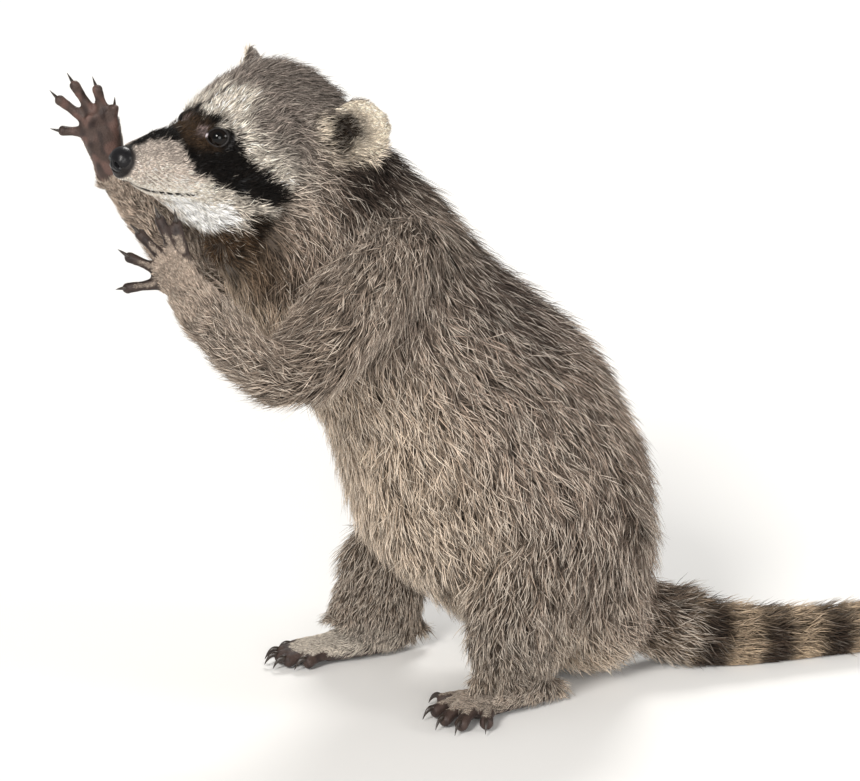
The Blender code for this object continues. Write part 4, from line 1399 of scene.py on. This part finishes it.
def shader_of(name):
    """A new material, its nodes and its shader."""
    made = bpy.data.materials.new(name)
    made.use_nodes = True
    return made, made.node_tree, made.node_tree.nodes["Principled BSDF"]


def add_node(tree, kind, **settings):
    """A node with these inputs and settings."""
    node = tree.nodes.new(kind)
    for key, value in settings.items():
        if key in node.inputs:
            node.inputs[key].default_value = value
        else:
            setattr(node, key, value)
    return node


def add_ramp(tree, dark, pale):
    """A ramp from a dark to a pale colour."""
    ramp = add_node(tree, "ShaderNodeValToRGB")
    for stop, colour in zip(ramp.color_ramp.elements, (dark, pale)):
        stop.color = (*colour, 1)
    return ramp


def set_inputs(node, values):
    """Sets a node's inputs by their names."""
    for key, value in values.items():
        node.inputs[key].default_value = value


def wire(tree, *links):
    """Joins nodes: each link is a node and its output, then a node and its input."""
    for source, output, target, entry in links:
        tree.links.new(source.outputs[output], target.inputs[entry])


def hair_material():
    """Each tuft's own colours with a fine streak along it, and a soft satin sheen."""
    made, tree, shader = shader_of("guard hair")
    tint = add_node(tree, "ShaderNodeAttribute", attribute_name="coat_tone")
    place = add_node(tree, "ShaderNodeTexCoord")
    noise = add_node(tree, "ShaderNodeTexNoise", Scale=420.0, Detail=1.0)
    streak = add_node(tree, "ShaderNodeMapRange")
    set_inputs(streak, {"To Min": 0.72, "To Max": 1.28})
    colour = add_node(tree, "ShaderNodeVectorMath", operation="MULTIPLY")
    wire(
        tree,
        (place, "Object", noise, "Vector"),
        (noise, "Fac", streak, "Value"),
        (tint, "Color", colour, 0),
        (streak, "Result", colour, 1),
        (colour, "Vector", shader, "Base Color"),
    )
    set_inputs(shader, {"Roughness": 0.6, "Specular IOR Level": 0.14})
    return made


def skin_material():
    """Marked skin: creased and pored where bare, with a fine nap where short hair covers it."""
    made, tree, shader = shader_of("marked skin")
    tint = add_node(tree, "ShaderNodeAttribute", attribute_name="coat_tone")
    place = add_node(tree, "ShaderNodeTexCoord")
    creases = add_node(tree, "ShaderNodeTexVoronoi", Scale=620.0, feature="DISTANCE_TO_EDGE")
    grain = add_node(tree, "ShaderNodeTexNoise", Scale=900.0, Detail=3.0)
    shade = add_node(tree, "ShaderNodeMapRange")
    set_inputs(shade, {"To Min": 0.78, "To Max": 1.22})
    colour = add_node(tree, "ShaderNodeVectorMath", operation="MULTIPLY")
    height = add_node(tree, "ShaderNodeMath", operation="ADD")
    bump = add_node(tree, "ShaderNodeBump", Strength=0.5, Distance=0.0006)
    wire(
        tree,
        (place, "Object", creases, "Vector"),
        (place, "Object", grain, "Vector"),
        (grain, "Fac", shade, "Value"),
        (tint, "Color", colour, 0),
        (shade, "Result", colour, 1),
        (colour, "Vector", shader, "Base Color"),
        (creases, "Distance", height, 0),
        (grain, "Fac", height, 1),
        (height, "Value", bump, "Height"),
        (bump, "Normal", shader, "Normal"),
    )
    set_inputs(shader, {"Roughness": 0.5, "Specular IOR Level": 0.28})
    return made


def nose_material():
    """Black leather with a fine pebble grain under a moist gloss."""
    made, tree, shader = shader_of("nose leather")
    place = add_node(tree, "ShaderNodeTexCoord")
    pebbles = add_node(tree, "ShaderNodeTexVoronoi", Scale=1500.0, feature="SMOOTH_F1")
    bump = add_node(tree, "ShaderNodeBump", Strength=0.35, Distance=0.0003)
    ramp = add_ramp(tree, (0.003, 0.003, 0.0035), (0.011, 0.010, 0.012))
    wire(
        tree,
        (place, "Object", pebbles, "Vector"),
        (pebbles, "Distance", bump, "Height"),
        (pebbles, "Distance", ramp, "Fac"),
        (ramp, "Color", shader, "Base Color"),
        (bump, "Normal", shader, "Normal"),
    )
    set_inputs(shader, {
        "Roughness": 0.36,
        "Specular IOR Level": 0.16,
        "Coat Weight": 0.22,
        "Coat Roughness": 0.18,
        "Coat IOR": 1.34,
    })
    return made


def eye_material():
    """A very dark brown iris round a black pupil, darker at its edge, under a clear wet cornea."""
    made, tree, shader = shader_of("wet eye")
    angle = add_node(tree, "ShaderNodeAttribute", attribute_name="from_gaze")
    ramp = add_node(tree, "ShaderNodeValToRGB")
    stops = ramp.color_ramp.elements
    stops[0].position, stops[0].color = 0.22, (0.0008, 0.0008, 0.0008, 1)
    stops[1].position, stops[1].color = 0.28, (0.005, 0.0028, 0.0016, 1)
    edge = stops.new(0.50)
    edge.color = (0.002, 0.0015, 0.0012, 1)
    white = stops.new(0.62)
    white.color = (0.016, 0.012, 0.011, 1)
    wire(tree, (angle, "Fac", ramp, "Fac"), (ramp, "Color", shader, "Base Color"))
    set_inputs(shader, {
        "Roughness": 0.3,
        "Specular IOR Level": 0.0,
        "Coat Weight": 1.0,
        "Coat Roughness": 0.02,
        "Coat IOR": 1.3,
    })
    return made


def horn_material():
    """Dark horn with fine paler streaks."""
    made, tree, shader = shader_of("dark horn")
    place = add_node(tree, "ShaderNodeTexCoord")
    noise = add_node(tree, "ShaderNodeTexNoise", Scale=700.0, Detail=2.0)
    ramp = add_ramp(tree, (0.013, 0.009, 0.007), (0.042, 0.030, 0.023))
    wire(
        tree,
        (place, "Object", noise, "Vector"),
        (noise, "Fac", ramp, "Fac"),
        (ramp, "Color", shader, "Base Color"),
    )
    set_inputs(shader, {"Roughness": 0.32})
    return made


def whisker_material():
    """Stiff pale hair, a little darker in places."""
    made, tree, shader = shader_of("whisker")
    place = add_node(tree, "ShaderNodeTexCoord")
    noise = add_node(tree, "ShaderNodeTexNoise", Scale=60.0)
    ramp = add_ramp(tree, (0.45, 0.41, 0.35), (0.80, 0.77, 0.70))
    wire(
        tree,
        (place, "Object", noise, "Vector"),
        (noise, "Fac", ramp, "Fac"),
        (ramp, "Color", shader, "Base Color"),
    )
    set_inputs(shader, {"Roughness": 0.4})
    return made


def finish_piece(piece, finish, replaced=()):
    """Gives a piece its material, hangs it from the root's empty, and hides the nodes that it replaces."""
    piece.data.materials.append(finish)
    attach(piece, "root")
    if replaced:
        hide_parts(*replaced)


# ---------------------------------------------------------------- eyes, nose, whiskers


def turned_outwards(points, faces, centre):
    """The triangles of a shape round this centre, turned over if they face it."""
    inwards = np.linalg.det(points[faces] - centre).sum() < 0
    return faces[:, ::-1] if inwards else faces


def build_eye(name, hand):
    """A ball with a bell curve added where the cornea bulges. Its points keep their angle from the gaze."""
    centre, look = eye_centre(hand), gaze(hand)
    side_axis = unit(np.cross(look, U))
    points, faces = ball(centre, (side_axis, np.cross(look, side_axis), look), (1, 1, 1), 46, 64)
    way = unit(points - centre)
    angle = np.arccos(np.clip(way @ look, -1, 1))
    radius = EYE_RADIUS - 0.35 + 0.55 * np.exp(-((angle / 0.62) ** 2))
    points = centre + way * radius[:, None]
    piece = make_mesh(name, points, turned_outwards(points, faces, centre))
    value = piece.data.attributes.new("from_gaze", "FLOAT", "POINT")
    value.data.foreach_set("value", (angle / (np.pi / 2)).astype(np.float32))
    finish_piece(piece, eye_material(), [name])


def build_nose():
    """A rounded pad with a cleft down its middle and a comma-shaped nostril on each side.

    It is an ellipsoid, from which bell curves take the nostrils, their slits and the cleft, and to which
    one adds the wing over each nostril.
    """
    centre = on_head(6.5, 0, -2.5)
    points, faces = ball(centre, (L, U, F), (1, 1, 1), 70, 96)
    way = unit(points - centre)
    side_way, up, ahead = way @ L, way @ U, way @ F
    radii = np.array([8.2, 8.3, 7.4])
    reach = 1 / np.sqrt((side_way / radii[0]) ** 2 + (up / radii[1]) ** 2 + (ahead / radii[2]) ** 2)
    reach = reach * (1 + 0.05 * ease(up, 0.0, 0.7) - 0.16 * ease(-up, 0.35, 1.0) * (1 - np.abs(side_way)))
    aside = np.abs(side_way)
    nostril = np.hypot((aside - 0.46) / 0.20, (up + 0.10 + 0.15 * aside) / 0.22)
    slit = np.hypot((up + 0.22 + 0.25 * (aside - 0.5)) / 0.09, (aside - 0.78) / 0.30)
    hollow = 2.6 * np.exp(-(nostril**4)) * (ahead > 0) + 1.1 * np.exp(-(slit**2)) * (ahead > -0.3)
    cleft = 0.75 * np.exp(-((side_way / 0.055) ** 2)) * ease(-up, -0.15, 0.35) * (ahead > 0)
    wing = 0.45 * np.exp(-((np.hypot(aside - 0.66, up - 0.12) / 0.22) ** 2)) * (ahead > -0.2)
    points = centre + way * (reach - hollow - cleft + wing)[:, None]
    piece = make_mesh("nose_pad", points, turned_outwards(points, faces, centre))
    finish_piece(piece, nose_material(), ["nose"])


def build_whiskers(skin_points):
    """Rows of stiff hairs from each upper lip, swept back and drooping, and a few over each eye."""
    shapes = []
    on_skin = to_head(skin_points)
    on_skin = on_skin[(on_skin[:, 0] > 8) & (on_skin[:, 0] < 70)]

    def whisker(guess, out, length, sag, radius):
        root = on_skin[np.argmin(((on_skin - guess) ** 2).sum(1))]
        shapes.append(hair_line(root - out * 0.5, root + out * length, sag, radius))

    for hand in (1, -1):
        for row in range(4):
            for column in range(5):
                guess = (14 + column * 4.4 + row * 1.2, hand * (12.0 + column * 1.2), -3.5 - row * 3.0)
                length = 20 + 6 * column + 5 * rng.uniform(-1, 1)
                stray = 0.12 * rng.uniform(-1, 1, 3)
                out = unit(np.array([0.60 + 0.08 * column, hand * 0.80, -0.10 - 0.16 * row]) + stray)
                whisker(guess, out, length, [0.0, 0.0, -2.0], 0.19)
        for number in range(3):
            out = unit([0.55 + 0.1 * number, hand * 0.45, 0.75])
            whisker((57 + 2.5 * number, hand * (15 + 3 * number), 30), out, 19, [0.0, 0.0, 1.5], 0.14)
    finish_piece(make_mesh("whiskers", *joined(shapes)), whisker_material())


def hair_line(root, end, sag, radius):
    """One tapering hair between two places on the head."""
    path = [on_head(*place) for place in bent(root, end, sag, 7)]
    wide = radius * (1 - 0.8 * np.linspace(0, 1, 7))
    return tube(path, wide, wide, U, 5)


# ---------------------------------------------------------------- stage

CAMERA_AZIMUTH, CAMERA_ELEVATION = 72.0, 15.0
CAMERA_DISTANCE = 2.2  # metres
CAMERA_TARGET_DRAWN = np.array([0.0, 0.0, 190.0])
SENSOR, WIDTH_SEEN = 36.0, 0.516  # WIDTH_SEEN is how many metres the view spans at the target


def build_camera():
    """The photo's camera: a long lens from the left side and a little above."""
    azimuth, elevation = np.radians([CAMERA_AZIMUTH, CAMERA_ELEVATION])
    level = np.cos(elevation)
    back = Vector((np.sin(azimuth) * level, -np.cos(azimuth) * level, np.sin(elevation)))
    data = bpy.data.cameras.new("camera")
    data.sensor_width = SENSOR
    data.lens = SENSOR * CAMERA_DISTANCE / WIDTH_SEEN
    data.clip_end = 50
    camera = bpy.data.objects.new("camera", data)
    bpy.context.scene.collection.objects.link(camera)
    camera.location = Vector((CAMERA_TARGET_DRAWN + SHIFT) * MM) + back * CAMERA_DISTANCE
    camera.rotation_mode = "QUATERNION"
    camera.rotation_quaternion = (-back).to_track_quat("-Z", "Y")
    bpy.context.scene.camera = camera


def area_light(name, place, target, size, power, colour):
    """A round soft light at this place that faces its target, both in metres."""
    data = bpy.data.lights.new(name, "AREA")
    data.shape = "DISK"
    data.size = size
    data.energy = power
    data.color = colour
    light = bpy.data.objects.new(name, data)
    bpy.context.scene.collection.objects.link(light)
    light.location = place
    way = Vector(target) - Vector(place)
    light.rotation_mode = "QUATERNION"
    light.rotation_quaternion = way.to_track_quat("-Z", "Y")


def build_stage():
    """A pale floor and four soft lights: key, fill, one from the side, and a rim from behind."""
    half, low = 30.0, -0.0004
    corners = np.array([(-half, -half, low), (half, -half, low), (half, half, low), (-half, half, low)])
    floor = make_mesh("floor", corners / MM, [(0, 1, 2, 3)])
    made, _, shader = shader_of("pale floor")
    shader.inputs["Base Color"].default_value = (0.86, 0.86, 0.85, 1)
    shader.inputs["Roughness"].default_value = 0.9
    floor.data.materials.append(made)
    world = bpy.data.worlds.new("studio")
    world.use_nodes = True
    world.node_tree.nodes["Background"].inputs["Color"].default_value = (1.0, 0.98, 0.96, 1)
    world.node_tree.nodes["Background"].inputs["Strength"].default_value = 0.42
    bpy.context.scene.world = world
    middle = (0.0, -0.05, 0.2)
    area_light("key", (10.5, -9.5, 9.4), middle, 4.5, 2190, (1.0, 0.97, 0.93))
    area_light("fill", (12.5, -1.5, 3.0), middle, 6.0, 690, (1.0, 0.98, 0.96))
    area_light("side", (7.0, 10.2, 4.6), middle, 4.0, 375, (1.0, 0.98, 0.96))
    area_light("rim", (-10.0, 6.0, 10.4), middle, 5.5, 1190, (1.0, 0.98, 0.95))


# ---------------------------------------------------------------- everything together


def build_coat(skin):
    """Combs the skin, marks it, grows the tufts, and parts them into pieces by the path that owns each."""
    mesh = skin.data
    mesh.calc_loop_triangles()
    points, normals = points_of(mesh), normals_of(mesh)
    edges = numbers(mesh.edges, "vertices", np.int32, 2)
    lie = Lie(points)
    marks = Markings(lie, normals)
    put_tones(mesh, np.clip(skin_colours(lie, normals, marks), 0.002, 1))

    way = unit(lie.way - normals * (lie.way * normals).sum(1)[:, None])
    way = unit(relaxed(way, edges, 0.5, 8))
    ears = lie.share["ear_l"] + lie.share["ear_r"]
    long_hair = (lie.hair + 3.0 * wander(points, 7, 51) > LONG) & (ears < 0.5)
    sets = []
    for kind, keep in ((UNDERCOAT, long_hair), (GUARD_HAIR, long_hair), (SHORT_HAIR, ~long_hair)):
        tufts = Tufts(mesh, lie, marks, way, kind, keep)
        sets.append((tufts, tufts.shape(), tufts.colours()))
    hair = hair_material()
    owners = []
    for tufts, _, _ in sets:
        names = list(tufts.paths)
        owners.append(np.array(names)[np.argmax(np.stack([tufts.paths[name] for name in names]), 0)])
    for name, (path, low, high) in REGIONS.items():
        chosen = [
            (owner == path) & (tufts.place[path] >= low) & (tufts.place[path] < high)
            for (tufts, _, _), owner in zip(sets, owners)
        ]
        coat_piece(name, path, [(*one, pick) for one, pick in zip(sets, chosen)], hair)
    for path in PATHS:
        if path != "body":
            chosen = [owner == path for owner in owners]
            coat_piece("coat_" + path, path, [(*one, pick) for one, pick in zip(sets, chosen)], hair)


def main():
    build_camera()
    build_stage()
    bpy.context.scene.view_settings.view_transform = "Standard"
    skin = build_skin()
    build_coat(skin)
    finish_piece(skin, skin_material(), FLESH_NODES + EXTREMITIES)
    build_eye("eye_l", 1)
    build_eye("eye_r", -1)
    build_nose()
    build_whiskers(points_of(skin.data))
    claws()


main()
